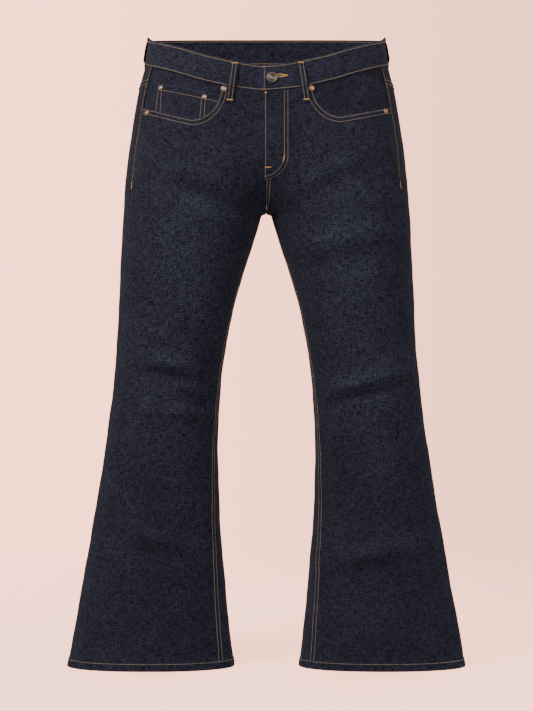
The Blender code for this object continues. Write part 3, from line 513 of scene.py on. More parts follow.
def grain_of(points: Array, ring: bool = False) -> Array:
    """Grain coordinates of a grid of points: across the cloth, then along it, in metres."""
    rows, columns = points.shape[:2]
    if ring:
        points = np.concatenate([points, points[:, :1]], axis=1)
        columns += 1
    across = np.cumsum(np.linalg.norm(np.diff(points, axis=1, prepend=points[:, :1]), axis=-1), axis=1)
    across = across - across[:, columns // 2, None]
    down = np.cumsum(np.linalg.norm(np.diff(points, axis=0, prepend=points[:1]), axis=-1), axis=0)
    return np.stack([across, np.broadcast_to(down[:, columns // 2, None], across.shape)], -1)


def shell(name: str, outer: Array, inner: Array, wear: Array, ring: bool = False) -> bpy.types.Object:
    """A closed shell between two grids of points.

    Args:
        name: The piece's name.
        outer: Its outer face, rows by columns by 3.
        inner: Its inner face, the same way.
        wear: The wear at each point, with the painted highlight on crease ridges and painted shade in crease troughs.
        ring: Whether the last column joins the first.

    Returns:
        The new object, with its grain as a UV map and its wear, with the painted crease highlight and shade, as an
        attribute.
    """
    rows, columns = outer.shape[:2]
    count = rows * columns
    spans = columns if ring else columns - 1
    wide = columns + 1 if ring else columns
    row, col = np.meshgrid(np.arange(rows - 1), np.arange(spans), indexing="ij")
    quads = [(row, col), (row, col + 1), (row + 1, col + 1), (row + 1, col)]
    corner = np.stack([r * columns + c % columns for r, c in quads], -1).reshape(-1, 4)
    grain_at = np.stack([r * wide + c for r, c in quads], -1).reshape(-1, 4)
    cols = np.arange(spans)
    last_row = (rows - 1) * wide
    rims = [(cols + 1, cols), (last_row + cols, last_row + cols + 1)]
    if not ring:
        steps = np.arange(rows - 1) * wide
        rims += [(steps, steps + wide), (steps + wide + columns - 1, steps + columns - 1)]
    faces, grains = [corner, corner[:, ::-1] + count], [grain_at, grain_at[:, ::-1]]
    for start, end in rims:
        a = start // wide * columns + start % wide % columns
        b = end // wide * columns + end % wide % columns
        faces.append(np.stack([a, b, b + count, a + count], -1))
        grains.append(np.stack([start, end, end, start], -1))
    all_faces, all_grains = np.concatenate(faces), np.concatenate(grains)
    points = np.concatenate([outer.reshape(-1, 3), inner.reshape(-1, 3)])
    corners = points[all_faces]
    volume = np.einsum("ij,ij->", corners[:, 0], np.cross(corners[:, 1], corners[:, 2]))
    volume += np.einsum("ij,ij->", corners[:, 0], np.cross(corners[:, 2], corners[:, 3]))
    if volume < 0:
        all_faces, all_grains = all_faces[:, ::-1], all_grains[:, ::-1]
    mesh = bpy.data.meshes.new(name)
    mesh.from_pydata(points.tolist(), [], all_faces.tolist())
    grain = grain_of(outer, ring).reshape(-1, 2)[all_grains.reshape(-1)]
    mesh.uv_layers.new(name="Grain").data.foreach_set("uv", grain.reshape(-1).astype(np.float32))
    worn = np.tile(np.asarray(wear, float).reshape(-1), 2).astype(np.float32)
    mesh.attributes.new("wear", "FLOAT", "POINT").data.foreach_set("value", worn)
    mesh.shade_smooth()
    mesh.set_sharp_from_angle(angle=math.radians(55))
    item = bpy.data.objects.new(name, mesh)
    bpy.context.scene.collection.objects.link(item)
    return item


class Nodes:
    """A shader tree, written in short steps."""

    def __init__(self, name: str) -> None:
        """Starts a material with a plain shader."""
        self.material = bpy.data.materials.new(name)
        self.material.use_nodes = True
        self.tree = self.material.node_tree
        self.shader = self.tree.nodes["Principled BSDF"]

    def add(self, kind: str, inputs: dict[str | int, object] | None = None, **settings: object) -> bpy.types.Node:
        """Adds a node.

        Args:
            kind: The node's type.
            inputs: Values, or sockets to link, by input name or number.
            settings: The node's own settings.

        Returns:
            The node.
        """
        node = self.tree.nodes.new(kind)
        for key, value in settings.items():
            setattr(node, key, value)
        for key, value in (inputs or {}).items():
            if isinstance(value, bpy.types.NodeSocket):
                self.tree.links.new(value, node.inputs[key])
            else:
                node.inputs[key].default_value = value
        return node

    def maths(
        self, operation: str, first: object, second: object = 0.0, third: object = 0.0
    ) -> bpy.types.NodeSocket:
        """A Math node's result."""
        return self.add("ShaderNodeMath", {0: first, 1: second, 2: third}, operation=operation).outputs[0]

    def blend(self, share: object, first: object, second: object, mode: str = "MIX") -> bpy.types.NodeSocket:
        """A colour mixed from two."""
        inputs = {0: share, 6: first, 7: second}
        return self.add("ShaderNodeMix", inputs, data_type="RGBA", blend_type=mode).outputs[2]

    def noise(self, place: object, scale: float, detail: float = 2.0, rough: float = 0.5) -> bpy.types.NodeSocket:
        """A noise texture's value."""
        inputs = {"Vector": place, "Scale": scale, "Detail": detail, "Roughness": rough}
        return self.add("ShaderNodeTexNoise", inputs).outputs["Fac"]

    def spread(
        self, value: object, low: float, high: float, to_low: float = 0.0, to_high: float = 1.0
    ) -> bpy.types.NodeSocket:
        """A value mapped from one range to another, held at its ends."""
        inputs = {"Value": value, 1: low, 2: high, 3: to_low, 4: to_high}
        return self.add("ShaderNodeMapRange", inputs, clamp=True).outputs[0]

    def colour(self, socket: object) -> None:
        """Sets the shader's base colour."""
        self.tree.links.new(socket, self.shader.inputs["Base Color"])

    def roughness(self, socket: object) -> None:
        """Sets the shader's roughness."""
        self.tree.links.new(socket, self.shader.inputs["Roughness"])

    def bump(self, height: object, strength: float, distance: float) -> None:
        """Adds a bump to the shader."""
        node = self.add("ShaderNodeBump", {"Height": height, "Strength": strength, "Distance": distance})
        self.tree.links.new(node.outputs["Normal"], self.shader.inputs["Normal"])

    def constants(self, **values: object) -> None:
        """Sets constants on the shader's own sockets."""
        for name, value in values.items():
            self.shader.inputs[name.replace("_", " ")].default_value = value


@dataclass(frozen=True)
class Denim:
    """Dark indigo twill: bluish warp over pale weft, slubs, fades that follow the wear, and painted highlight and
    shade along the creases, which come in with the wear.
    """

    name: str = "denim_twill"
    dark: Triple = (0.0028, 0.0027, 0.0072)
    mid: Triple = (0.0240, 0.0226, 0.0410)
    # The faded colour: wear moves the cloth towards it, and so do crease ridges as painted highlight, while crease
    # troughs move away from it as painted shade.
    worn: Triple = (0.0540, 0.0550, 0.0920)
    fleck: Triple = (0.085, 0.093, 0.125)
    rubbed: Triple = (0.105, 0.128, 0.195)

    def material(self) -> bpy.types.Material:
        """Builds the twill's material."""
        n = Nodes(self.name)
        grain = n.add("ShaderNodeUVMap", uv_map="Grain").outputs[0]
        place = n.add("ShaderNodeTexCoord").outputs["Object"]
        # The wear attribute also carries painted highlight on crease ridges and painted shade in crease troughs.
        worn = n.add("ShaderNodeAttribute", attribute_name="wear").outputs["Fac"]
        split = n.add("ShaderNodeSeparateXYZ", {0: grain})
        u, v = split.outputs[0], split.outputs[1]
        slant = n.maths("ADD", n.maths("MULTIPLY", u, 1150.0), n.maths("MULTIPLY", v, 620.0))
        twill = n.maths("ABSOLUTE", n.maths("SINE", n.maths("MULTIPLY", slant, math.pi)))
        ends = n.maths("ABSOLUTE", n.maths("SINE", n.maths("MULTIPLY", u, 1150.0 * math.pi)))
        streaks = n.add("ShaderNodeMapping", {0: grain, 3: (620.0, 95.0, 1.0)}).outputs[0]
        slub = n.noise(streaks, 1.0, 2.0, 0.6)
        cross = n.add("ShaderNodeMapping", {0: grain, 3: (80.0, 620.0, 1.0)}).outputs[0]
        weft = n.noise(cross, 1.0, 1.0, 0.5)
        speck = n.noise(place, 680.0, 2.0, 0.6)
        broad = n.noise(place, 140.0, 3.0, 0.65)
        cloud = n.noise(place, 22.0, 3.0, 0.55)
        streak = n.maths("ADD", n.maths("MULTIPLY", slub, 0.6), n.maths("MULTIPLY", weft, 0.4))
        mottle = n.maths("ADD", n.maths("MULTIPLY", streak, 0.52), n.maths("MULTIPLY", speck, 0.48))
        grainy = n.maths("ADD", n.maths("MULTIPLY", mottle, 0.86), n.maths("MULTIPLY", broad, 0.14))
        base = n.blend(n.spread(grainy, 0.445, 0.555), (*self.dark, 1), (*self.mid, 1))
        fade = n.maths("ADD", worn, n.spread(cloud, 0.32, 0.68, -0.30, 0.34))
        fade = n.maths("MULTIPLY", n.spread(fade, -0.45, 1.3), n.spread(grainy, 0.45, 0.56, 0.0, 1.0))
        faded = n.blend(fade, base, (*self.worn, 1))
        rub = n.maths("MULTIPLY", n.spread(worn, 1.45, 2.2), n.spread(mottle, 0.36, 0.58, 0.35, 1.0))
        faded = n.blend(rub, faded, (*self.rubbed, 1))
        flecks = n.maths("MULTIPLY", n.spread(speck, 0.57, 0.72), n.spread(weft, 0.4, 0.62))
        faded = n.blend(n.maths("MULTIPLY", flecks, 0.75), faded, (*self.fleck, 1))
        n.colour(n.blend(n.maths("MULTIPLY", twill, 0.25), faded, (*self.dark, 1)))
        relief = n.maths("ADD", n.maths("MULTIPLY", twill, 0.6), n.maths("MULTIPLY", ends, 0.25))
        relief = n.maths("ADD", relief, n.maths("MULTIPLY", slub, 0.8))
        relief = n.maths("ADD", relief, n.maths("MULTIPLY", broad, 1.6))
        n.bump(relief, 0.6, 0.0004)
        n.roughness(n.spread(grainy, 0.3, 0.7, 0.80, 0.94))
        n.constants(Sheen_Weight=0.04, Sheen_Roughness=0.5, Specular_IOR_Level=0.14)
        return n.material


@dataclass(frozen=True)
class Thread:
    """Twisted sewing thread, each stitch a little lighter or darker."""

    name: str
    light: Triple
    dark: Triple

    def material(self) -> bpy.types.Material:
        """Builds the thread's material."""
        n = Nodes(self.name)
        place = n.add("ShaderNodeTexCoord").outputs["Object"]
        strand = n.add("ShaderNodeAttribute", attribute_name="strand").outputs["Fac"]
        fuzz = n.noise(place, 2600.0, 1.0, 0.5)
        cloud = n.noise(place, 30.0, 2.0, 0.5)
        tone = n.maths("ADD", n.maths("MULTIPLY", strand, 0.55), n.maths("MULTIPLY", fuzz, 0.45))
        tone = n.maths("ADD", tone, n.spread(cloud, 0.3, 0.7, -0.2, 0.2))
        n.colour(n.blend(tone, (*self.dark, 1), (*self.light, 1)))
        n.bump(fuzz, 0.4, 0.0001)
        n.roughness(n.spread(fuzz, 0.3, 0.7, 0.45, 0.65))
        n.constants(Sheen_Weight=0.1, Specular_IOR_Level=0.4)
        return n.material


@dataclass(frozen=True)
class Metal:
    """Worn metal: darker in its hollows, brushed, with a soft grain, and near white at a rivet's centre, partly its
    silver post and partly a painted highlight.
    """

    name: str
    light: Triple
    dark: Triple
    gloss: float = 0.38
    # The rivet's centre: its silver post, painted near white, which also stands for a highlight.
    tip: Triple = (0.93, 0.88, 0.80)

    def material(self) -> bpy.types.Material:
        """Builds the metal's material."""
        n = Nodes(self.name)
        place = n.add("ShaderNodeTexCoord").outputs["Object"]
        hollow = n.add("ShaderNodeAttribute", attribute_name="hollow").outputs["Fac"]
        patina = n.noise(place, 420.0, 4.0, 0.6)
        scratch = n.noise(n.add("ShaderNodeMapping", {0: place, 3: (1.0, 1.0, 0.08)}).outputs[0], 4200.0, 2.0, 0.5)
        tone = n.maths("ADD", hollow, n.spread(patina, 0.35, 0.65, 0.0, 0.5))
        aged = n.blend(n.spread(tone, 0.0, 1.2), (*self.light, 1), (*self.dark, 1))
        # Below 0 the hollow value marks a rivet's centre, which goes near white: the silver post and a painted
        # highlight.
        n.colour(n.blend(n.spread(hollow, -0.4, -0.9), aged, (*self.tip, 1)))
        n.roughness(n.spread(patina, 0.3, 0.7, self.gloss - 0.06, self.gloss + 0.14))
        n.bump(n.maths("ADD", scratch, n.maths("MULTIPLY", patina, 0.5)), 0.25, 0.00006)
        n.constants(Metallic=1.0)
        return n.material


class ThreadColour(Enum):
    """The three threads that the jeans are sewn with."""

    TAN = Thread("thread_tan", (0.68, 0.49, 0.28), (0.33, 0.21, 0.115))
    YELLOW = Thread("thread_yellow", (0.80, 0.57, 0.27), (0.44, 0.28, 0.12))
    GOLD = Thread("thread_gold", (0.86, 0.50, 0.13), (0.52, 0.26, 0.045))


@dataclass(frozen=True)
class StitchStyle:
    """How a run of stitches is laid.

    Attributes:
        pitch: From one stitch to the next.
        length: Of a stitch.
        width: Of the thread, on the cloth.
        height: Of the thread, off the cloth.
        turn: The stitch's angle to the line.
    """

    pitch: float = 0.0034
    length: float = 0.0019
    width: float = 0.00120
    height: float = 0.0007
    turn: float = 0.0


TOPSTITCH = StitchStyle()
BAR_TACK = StitchStyle(pitch=0.00055, length=0.0022, width=0.0007, height=0.0009, turn=math.pi / 2)
BUTTONHOLE = StitchStyle(pitch=0.0006, length=0.0019, width=0.0007, height=0.0008, turn=math.pi / 2)


class StitchTree:
    """The Geometry Nodes tree that lays stitches along lines of points."""

    SIZES = (("Pitch", 0.003), ("Length", 0.0025), ("Width", 0.0008), ("Height", 0.0006), ("Turn", 0.0))

    def __init__(self) -> None:
        """Builds the tree once."""
        tree = bpy.data.node_groups.new("stitches", "GeometryNodeTree")
        self.tree = tree
        face = tree.interface
        face.new_socket("Geometry", in_out="INPUT", socket_type="NodeSocketGeometry")
        self.sockets: dict[str, str] = {}
        for name, value in self.SIZES:
            socket = face.new_socket(name, in_out="INPUT", socket_type="NodeSocketFloat")
            socket.default_value = value
            self.sockets[name] = socket.identifier
        seed = face.new_socket("Seed", in_out="INPUT", socket_type="NodeSocketInt")
        seed.default_value = 7
        finish = face.new_socket("Material", in_out="INPUT", socket_type="NodeSocketMaterial")
        self.sockets["Seed"], self.sockets["Material"] = seed.identifier, finish.identifier
        face.new_socket("Geometry", in_out="OUTPUT", socket_type="NodeSocketGeometry")
        given = self.node("NodeGroupInput")
        line = self.node("GeometryNodeMeshToCurve", {"Mesh": given.outputs["Geometry"]})
        along_line = {"Curve": line.outputs["Curve"], "Length": given.outputs["Pitch"]}
        beads = self.node("GeometryNodeResampleCurve", along_line, mode="LENGTH")
        sphere = self.node("GeometryNodeMeshUVSphere", {"Segments": 6, "Rings": 3, "Radius": 1.0})
        halves = [
            self.node("ShaderNodeMath", {0: given.outputs[name], 1: 0.5}, operation="MULTIPLY").outputs[0]
            for name in ("Height", "Width", "Length")
        ]
        size = self.node("ShaderNodeCombineXYZ", dict(enumerate(halves)))
        grain = self.node(
            "GeometryNodeTransform",
            {"Geometry": sphere.outputs["Mesh"], "Rotation": (0, math.pi / 2, 0), "Scale": size.outputs[0]},
        )
        outward = self.node("GeometryNodeInputNamedAttribute", {"Name": "outwards"}, data_type="FLOAT_VECTOR")
        tangent = self.node("GeometryNodeInputTangent")
        upright = self.node("FunctionNodeAlignRotationToVector", {"Vector": outward.outputs["Attribute"]}, axis="Z")
        along = self.node(
            "FunctionNodeAlignRotationToVector",
            {"Rotation": upright.outputs[0], "Vector": tangent.outputs[0]},
            axis="X",
            pivot_axis="Z",
        )
        jitter = self.chance(given, -0.06, 0.06)
        lean = self.node("ShaderNodeMath", {0: given.outputs["Turn"], 1: jitter}, operation="ADD")
        swing = self.node("ShaderNodeCombineXYZ", {2: lean.outputs[0]})
        swung = self.node("FunctionNodeEulerToRotation", {0: swing.outputs[0]})
        turned = self.node(
            "FunctionNodeRotateRotation",
            {"Rotation": along.outputs[0], "Rotate By": swung.outputs[0]},
            rotation_space="LOCAL",
        )
        laid = self.node(
            "GeometryNodeInstanceOnPoints",
            {
                "Points": beads.outputs["Curve"],
                "Instance": grain.outputs["Geometry"],
                "Rotation": turned.outputs[0],
            },
        )
        shade = self.chance(given, 0.0, 1.0)
        marked = self.node(
            "GeometryNodeStoreNamedAttribute",
            {"Geometry": laid.outputs["Instances"], "Name": "strand", "Value": shade},
            data_type="FLOAT",
            domain="INSTANCE",
        )
        real = self.node("GeometryNodeRealizeInstances", {"Geometry": marked.outputs["Geometry"]})
        finish_in = {"Geometry": real.outputs["Geometry"], "Material": given.outputs["Material"]}
        dressed = self.node("GeometryNodeSetMaterial", finish_in)
        self.node("NodeGroupOutput", {0: dressed.outputs["Geometry"]})

    def node(self, kind: str, inputs: dict[str | int, object] | None = None, **settings: object) -> bpy.types.Node:
        """Adds a node to the tree, with its settings and inputs."""
        node = self.tree.nodes.new(kind)
        for key, value in settings.items():
            setattr(node, key, value)
        for key, value in (inputs or {}).items():
            socket = self.visible_input(node, key)
            if isinstance(value, bpy.types.NodeSocket):
                self.tree.links.new(value, socket)
            else:
                socket.default_value = value
        return node

    @staticmethod
    def visible_input(node: bpy.types.Node, key: str | int) -> bpy.types.NodeSocket:
        """The enabled input of this name, or the input of this number."""
        if isinstance(key, int):
            return node.inputs[key]
        return next(socket for socket in node.inputs if socket.name == key and socket.enabled)

    def chance(self, given: bpy.types.Node, low: float, high: float) -> bpy.types.NodeSocket:
        """A random number for each stitch."""
        inputs = {"Min": low, "Max": high, "Seed": given.outputs["Seed"]}
        node = self.node("FunctionNodeRandomValue", inputs, data_type="FLOAT")
        return next(socket for socket in node.outputs if socket.enabled)

    def lay(
        self, name: str, runs: "Iterable[Run]", style: StitchStyle, finish: bpy.types.Material
    ) -> bpy.types.Object:
        """Lays stitches along runs of points.

        Args:
            name: The new piece's name.
            runs: Lines of points with their outward directions.
            style: How the stitches are laid.
            finish: Their material.

        Returns:
            The stitches as one plain mesh.
        """
        points, edges, outwards = [], [], []
        for run in runs:
            first = len(points)
            points += run.points.tolist()
            outwards += run.outwards.tolist()
            edges += [(first + i, first + i + 1) for i in range(len(run.points) - 1)]
        mesh = bpy.data.meshes.new(name)
        mesh.from_pydata(points, edges, [])
        layer = mesh.attributes.new("outwards", "FLOAT_VECTOR", "POINT")
        layer.data.foreach_set("vector", np.array(outwards, np.float32).reshape(-1))
        guide = bpy.data.objects.new(name + ".guide", mesh)
        bpy.context.scene.collection.objects.link(guide)
        modifier = guide.modifiers.new("Stitches", "NODES")
        modifier.node_group = self.tree
        for size, _ in self.SIZES:
            modifier[self.sockets[size]] = getattr(style, size.lower())
        modifier[self.sockets["Material"]] = finish
        ready = guide.evaluated_get(bpy.context.evaluated_depsgraph_get())
        made = bpy.data.meshes.new_from_object(ready)
        guide.modifiers.remove(modifier)
        bpy.data.objects.remove(guide)
        made.shade_smooth()
        item = bpy.data.objects.new(name, made)
        bpy.context.scene.collection.objects.link(item)
        return item


@dataclass
class Run:
    """A line of points on the cloth, with the outward directions there."""

    points: Array
    outwards: Array


@dataclass
class Sewing:
    """Collects the runs of one piece of sewing and lays them at the end."""

    tree: StitchTree
    finishes: dict[ThreadColour, bpy.types.Material]
    runs: dict[tuple[str, StitchStyle, ThreadColour], list[Run]] = field(default_factory=dict)

    def add(
        self, piece: str, run: Run, style: StitchStyle = TOPSTITCH, colour: ThreadColour = ThreadColour.TAN
    ) -> None:
        """Adds a run to a piece of sewing."""
        self.runs.setdefault((piece, style, colour), []).append(run)

    def sew(self) -> list[bpy.types.Object]:
        """Lays every run.

        Returns:
            The new pieces.
        """
        made: dict[str, list[bpy.types.Object]] = {}
        for (piece, style, colour), runs in self.runs.items():
            part = self.tree.lay(piece, runs, style, self.finishes[colour])
            made.setdefault(piece, []).append(part)
        pieces = []
        for piece, parts in made.items():
            whole = join(piece, parts)
            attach(whole, "root")
            pieces.append(whole)
            LOG.info("sewed %s, %d faces", piece, len(whole.data.polygons))
        return pieces


def join(name: str, parts: Sequence[bpy.types.Object]) -> bpy.types.Object:
    """Joins pieces into one object of this name."""
    first = parts[0]
    if len(parts) > 1:
        chosen = list(parts)
        with bpy.context.temp_override(
            active_object=first, object=first, selected_editable_objects=chosen, selected_objects=chosen
        ):
            bpy.ops.object.join()
    first.name = name
    return first


def resample(points: Array, spacing: float = 0.0015) -> Array:
    """Evenly spaced places along a line of 2 numbers a row, turns and heights scaled to be alike."""
    steps = np.linalg.norm(np.diff(points, axis=0), axis=1)
    run = np.concatenate([[0], np.cumsum(steps)])
    count = max(int(run[-1] / spacing), 2)
    at = np.linspace(0, run[-1], count)
    return np.stack([np.interp(at, run, points[:, i]) for i in range(points.shape[1])], -1)


@dataclass
class ClothPiece:
    """A sub-assembly of cloth: what it replaces, how it is cut and how it is dressed."""

    side: Side
    denim: bpy.types.Material
    sewing: Sewing

    def dress(
        self,
        item: bpy.types.Object,
        nodes: Sequence[str],
        flat: tuple[float, float],
        rests_on: Sequence[str],
        area: float | None = None,
    ) -> bpy.types.Object:
        """Gives a shell its finish, hangs it on the root, hides the CAD nodes it stands for and logs it.

        Args:
            item: The shell.
            nodes: The CAD nodes it stands for.
            flat: The width and length of its cut; not used.
            rests_on: What it is sewn to; not used.
            area: Its flat area, where the cut isn't a rectangle; not used.

        Returns:
            The same shell.
        """
        item.data.materials.append(self.denim)
        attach(item, "root")
        if nodes:
            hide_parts(*nodes)
        LOG.info("made %s, %d faces", item.name, len(item.data.polygons))
        return item

    def stitch(
        self,
        piece: str,
        laid: tuple[Array, ...],
        style: StitchStyle = TOPSTITCH,
        colour: ThreadColour = ThreadColour.TAN,
    ) -> None:
        """Adds a run, from points and outward directions laid on the cloth, to a piece of sewing."""
        self.sewing.add(piece, Run(*laid[:2]), style, colour)


def flat_cut(grid: Array) -> tuple[tuple[float, float], float]:
    """The cut of a grid of cloth.

    Args:
        grid: Its points, rows by columns by 3.

    Returns:
        Its greatest width and length, and its flat area.
    """
    widths = np.linalg.norm(np.diff(grid, axis=1), axis=-1).sum(1)
    lengths = np.linalg.norm(np.diff(grid, axis=0), axis=-1).sum(0)
    a, b = grid[1:, :-1] - grid[:-1, :-1], grid[:-1, 1:] - grid[:-1, :-1]
    c, d = grid[1:, :-1] - grid[1:, 1:], grid[:-1, 1:] - grid[1:, 1:]
    area = (np.linalg.norm(np.cross(a, b), axis=-1).sum() + np.linalg.norm(np.cross(c, d), axis=-1).sum()) / 2
    width, length = round(float(widths.max()), 3), round(float(lengths.max()), 3)
    return (width, length), round(float(max(area, 0.301 * width * length)), 4)


@dataclass
class LegPanel(ClothPiece):
    """A front or back leg panel, from the waist, pocket mouth or yoke down to the hem."""

    face: Face = Face.FRONT
    rise_rows: int = 56
    leg_rows: int = 190
    columns: int = 69
    seam_columns: int = 17
    arc_columns: int = 17

    @property
    def name(self) -> str:
        """The panel's name, which is its node's too."""
        return f"{self.face.value}_{self.side.word}"

    def inner_turn(self, height: float) -> float:
        """The turn of the panel's inner edge."""
        base = 0.0 if self.face is Face.FRONT else 4.0
        return base + float(FORM.inseam(np.array(height))) if height < CROTCH_HEIGHT else base

    def leg_heights(self) -> Array:
        """Heights of the rows below the crotch, closest together at the knee."""
        fine = np.linspace(CROTCH_HEIGHT, HEM_HEIGHT + SEAM, 400)
        crowding = 1 + 0.9 * falloff(fine - 0.47, 0.09) + 0.7 * falloff(fine - 0.745, 0.02)
        amount = np.concatenate([[0], np.cumsum((crowding[1:] + crowding[:-1]) / 2)])
        return np.interp(np.linspace(0, amount[-1], self.leg_rows), amount, fine)

    def rise_heights(self, top: float) -> Array:
        """Heights of the inner ends of the rows above the crotch, even along the rise seam."""
        bend = FORM.front_bend if self.face is Face.FRONT else FORM.back_bend
        straight = np.linspace(top, CROTCH_HEIGHT + bend, 80)[:-1]
        bent = CROTCH_HEIGHT + bend * (1 - np.sin(np.linspace(0, math.pi / 2, 120)))
        fine = np.concatenate([straight, bent])
        steps = np.linalg.norm(np.diff(FORM.point(self.inner_turn(1.0), fine), axis=0), axis=1)
        length = np.concatenate([[0], np.cumsum(steps)])
        return np.interp(np.linspace(0, length[-1], self.rise_rows), length, fine)

    def top_edge(self) -> tuple[Array, Array]:
        """Turns and heights along the panel's top edge."""
        if self.face is Face.BACK:
            start = float(FORM.nudge(FORM.side_seam(YOKE_CORNER), YOKE_CORNER, SEAM / 2))
            turns = FORM.spaced(start, 4.0, YOKE_CORNER, crowded(self.columns))
            return turns[::-1], FORM.yoke_seam(turns[::-1]) - SEAM
        start = float(FORM.seam_turn(SCOOPS[self.side][0]))
        seam_turns = np.linspace(0.0, start, self.seam_columns)
        drop = np.radians(np.linspace(3, 90, self.arc_columns))
        reach = FORM.low_across - SCOOPS[self.side][0]
        arc = FORM.low_across - reach * np.cos(drop)
        end = float(FORM.column("outer", np.array(MOUTH_END))) - FORM.hip_inset
        climbing = self.columns - self.seam_columns - self.arc_columns
        eased = np.linspace(0, 1, climbing + 1)[1:]
        climb = FORM.low_across + (end - FORM.low_across) * (eased + 0.10 * np.sin(math.pi * eased))
        across = np.concatenate([arc, climb])
        heights = FORM.scoop_height(across, self.side)
        turns = FORM.turn_across(across, heights)
        turns[-1] = FORM.nudge(FORM.side_seam(heights[-1]), heights[-1], -SEAM / 2)
        return np.concatenate([seam_turns, turns]), np.concatenate([FORM.waist_seam(seam_turns) - SEAM, heights])

    def grid(self) -> tuple[Array, Array]:
        """Turns and heights of the panel, inner edge first, top row first."""
        top_turns, top_heights = self.top_edge()
        is_front = self.face is Face.FRONT
        ease = smoothstep(np.linspace(0, 1, self.columns) * 1.15)
        seam_side = SEAM / 2 * (-1 if is_front else 1)
        inner_heights = self.rise_heights(float(top_heights[0]))

        def side_turn(height: float) -> float:
            return float(FORM.nudge(FORM.side_seam(np.array(height)), np.array(height), seam_side))

        shares = crowded(self.columns)
        crotch = FORM.spaced(self.inner_turn(CROTCH_HEIGHT), side_turn(CROTCH_HEIGHT), CROTCH_HEIGHT, shares)
        turns, heights = [], []
        for row in range(self.rise_rows - 1):
            share = row / (self.rise_rows - 1)
            height = top_heights + (CROTCH_HEIGHT - top_heights) * share
            height = height + (inner_heights[row] - height[0]) * (1 - ease)
            away = crotch - top_turns
            turn = top_turns + away * smoothstep(np.array(share)) * 0.5 + away * share * 0.5
            turn[0], turn[-1] = self.inner_turn(float(height[0])), side_turn(float(height[-1]))
            turns.append(turn)
            heights.append(height)
        for height in self.leg_heights():
            start = float(FORM.nudge(np.array(self.inner_turn(height)), np.array(height), -seam_side))
            turns.append(FORM.spaced(start, side_turn(float(height)), height, shares))
            heights.append(np.full(self.columns, height))
        return np.array(turns), np.array(heights)

    def cloth(self) -> Cloth:
        """The panel's cloth, with the seams that bound it."""
        heights = np.linspace(HEM_HEIGHT, CROTCH_HEIGHT - 0.001, 300)
        inseam = FORM.point(FORM.inseam(heights), heights)
        up = np.linspace(HEM_HEIGHT, 0.95 if self.face is Face.BACK else 0.915, 360)
        side = FORM.point(FORM.side_seam(up), up)
        rise_heights = np.linspace(CROTCH_HEIGHT, 0.945, 200)
        rise = FORM.point(self.inner_turn(1.0), rise_heights)
        top_turns, top_heights = self.top_edge()
        top = FORM.point(top_turns, top_heights)
        around = np.linspace(0, 4, 400)
        hem = FORM.point(around, np.full(400, HEM_HEIGHT))
        front = self.face is Face.FRONT
        felled = self.side is Side.LEFT
        seed = 1.3 * self.side.value + (0.7 if front else 2.9)
        seams = [
            SeamLine(inseam, 0.0005 if front else 0.0, 0.0118, 0.00030, 0.0100, 0.011, 0.0006, seed),
            SeamLine(side, 0.0 if front else 0.0003, 0.0030, 0.00032, 0.0115, 0.010, 0.0006, seed + 1, 0.55),
            SeamLine(rise, 0.0005 if felled else 0.0, 0.0085, 0.00022, 0.0090, 0.009, 0.0005, seed + 2),
            SeamLine(hem, 0.0, 0.004, 0.00035, 0.0130, 0.010, 0.0004, seed + 3),
        ]
        if front:
            mouth = top[self.seam_columns :]
            seams.append(SeamLine(mouth, 0.0005, 0.0090, 0.00018, 0.0085, 0.009, 0.0003, seed + 4, 1.1))
            seams.append(SeamLine(top[: self.seam_columns], 0.0, 0.004, 0.00018, 0.0080, 0.008, 0.0003, seed + 5))
        else:
            seams.append(SeamLine(top, 0.0, 0.004, 0.00024, 0.0100, 0.009, 0.0006, seed + 4))
        return Cloth(self.side, seams)

    def build(self) -> bpy.types.Object:
        """Builds, dresses and sews the panel."""
        turns, heights = self.grid()
        cloth = self.cloth()
        outer, _, wear = cloth.surface(turns, heights)
        inner, _, _ = Cloth(self.side).surface(turns, heights, -CLOTH)
        item = shell(self.name, outer, inner, wear)
        flat, area = flat_cut(outer)
        rest = "waistband" if self.face is Face.FRONT else f"yoke_{self.side.word}"
        self.dress(item, [self.name], flat, [rest], area)
        self.sew(cloth)
        return item

    def run(self, cloth: Cloth, turns: Array, heights: Array, lift: float = STITCH_LIFT) -> Run:
        """A run of sewing on the panel."""
        points, outwards, _ = cloth.surface(turns, heights, lift)
        return Run(points, outwards)

    def sew(self, cloth: Cloth) -> None:
        """Sews the panel's own topstitching."""
        piece = "stitching_" + self.face.value
        if self.face is Face.FRONT:
            down = np.linspace(CROTCH_HEIGHT - 0.004, HEM_HEIGHT + 0.001, 520)
            for inset in (0.0032, 0.0096):
                turns = FORM.nudge(FORM.inseam(down), down, inset)
                self.sewing.add(piece, self.run(cloth, turns, down))
            self.sew_mouth(cloth, piece)
            if self.side is Side.LEFT:
                self.sew_rise(cloth, piece, np.linspace(0.7925, CROTCH_HEIGHT + 0.0005, 120), (0.0012, 0.0060))
        else:
            up = np.linspace(0.789, 0.948, 120)
            turns = FORM.nudge(FORM.side_seam(up), up, SIDE_STITCH)
            self.sewing.add(piece, self.run(cloth, turns, up), colour=ThreadColour.GOLD)
            tack = np.linspace(0.780, 0.790, 20)
            turns = FORM.nudge(FORM.side_seam(tack), tack, SIDE_STITCH)
            self.sewing.add(piece, self.run(cloth, turns, tack, 0.0004), BAR_TACK, ThreadColour.GOLD)
            if self.side is Side.LEFT:
                self.sew_rise(cloth, piece, np.linspace(0.9255, CROTCH_HEIGHT + 0.0005, 260), (0.0016, 0.0080))

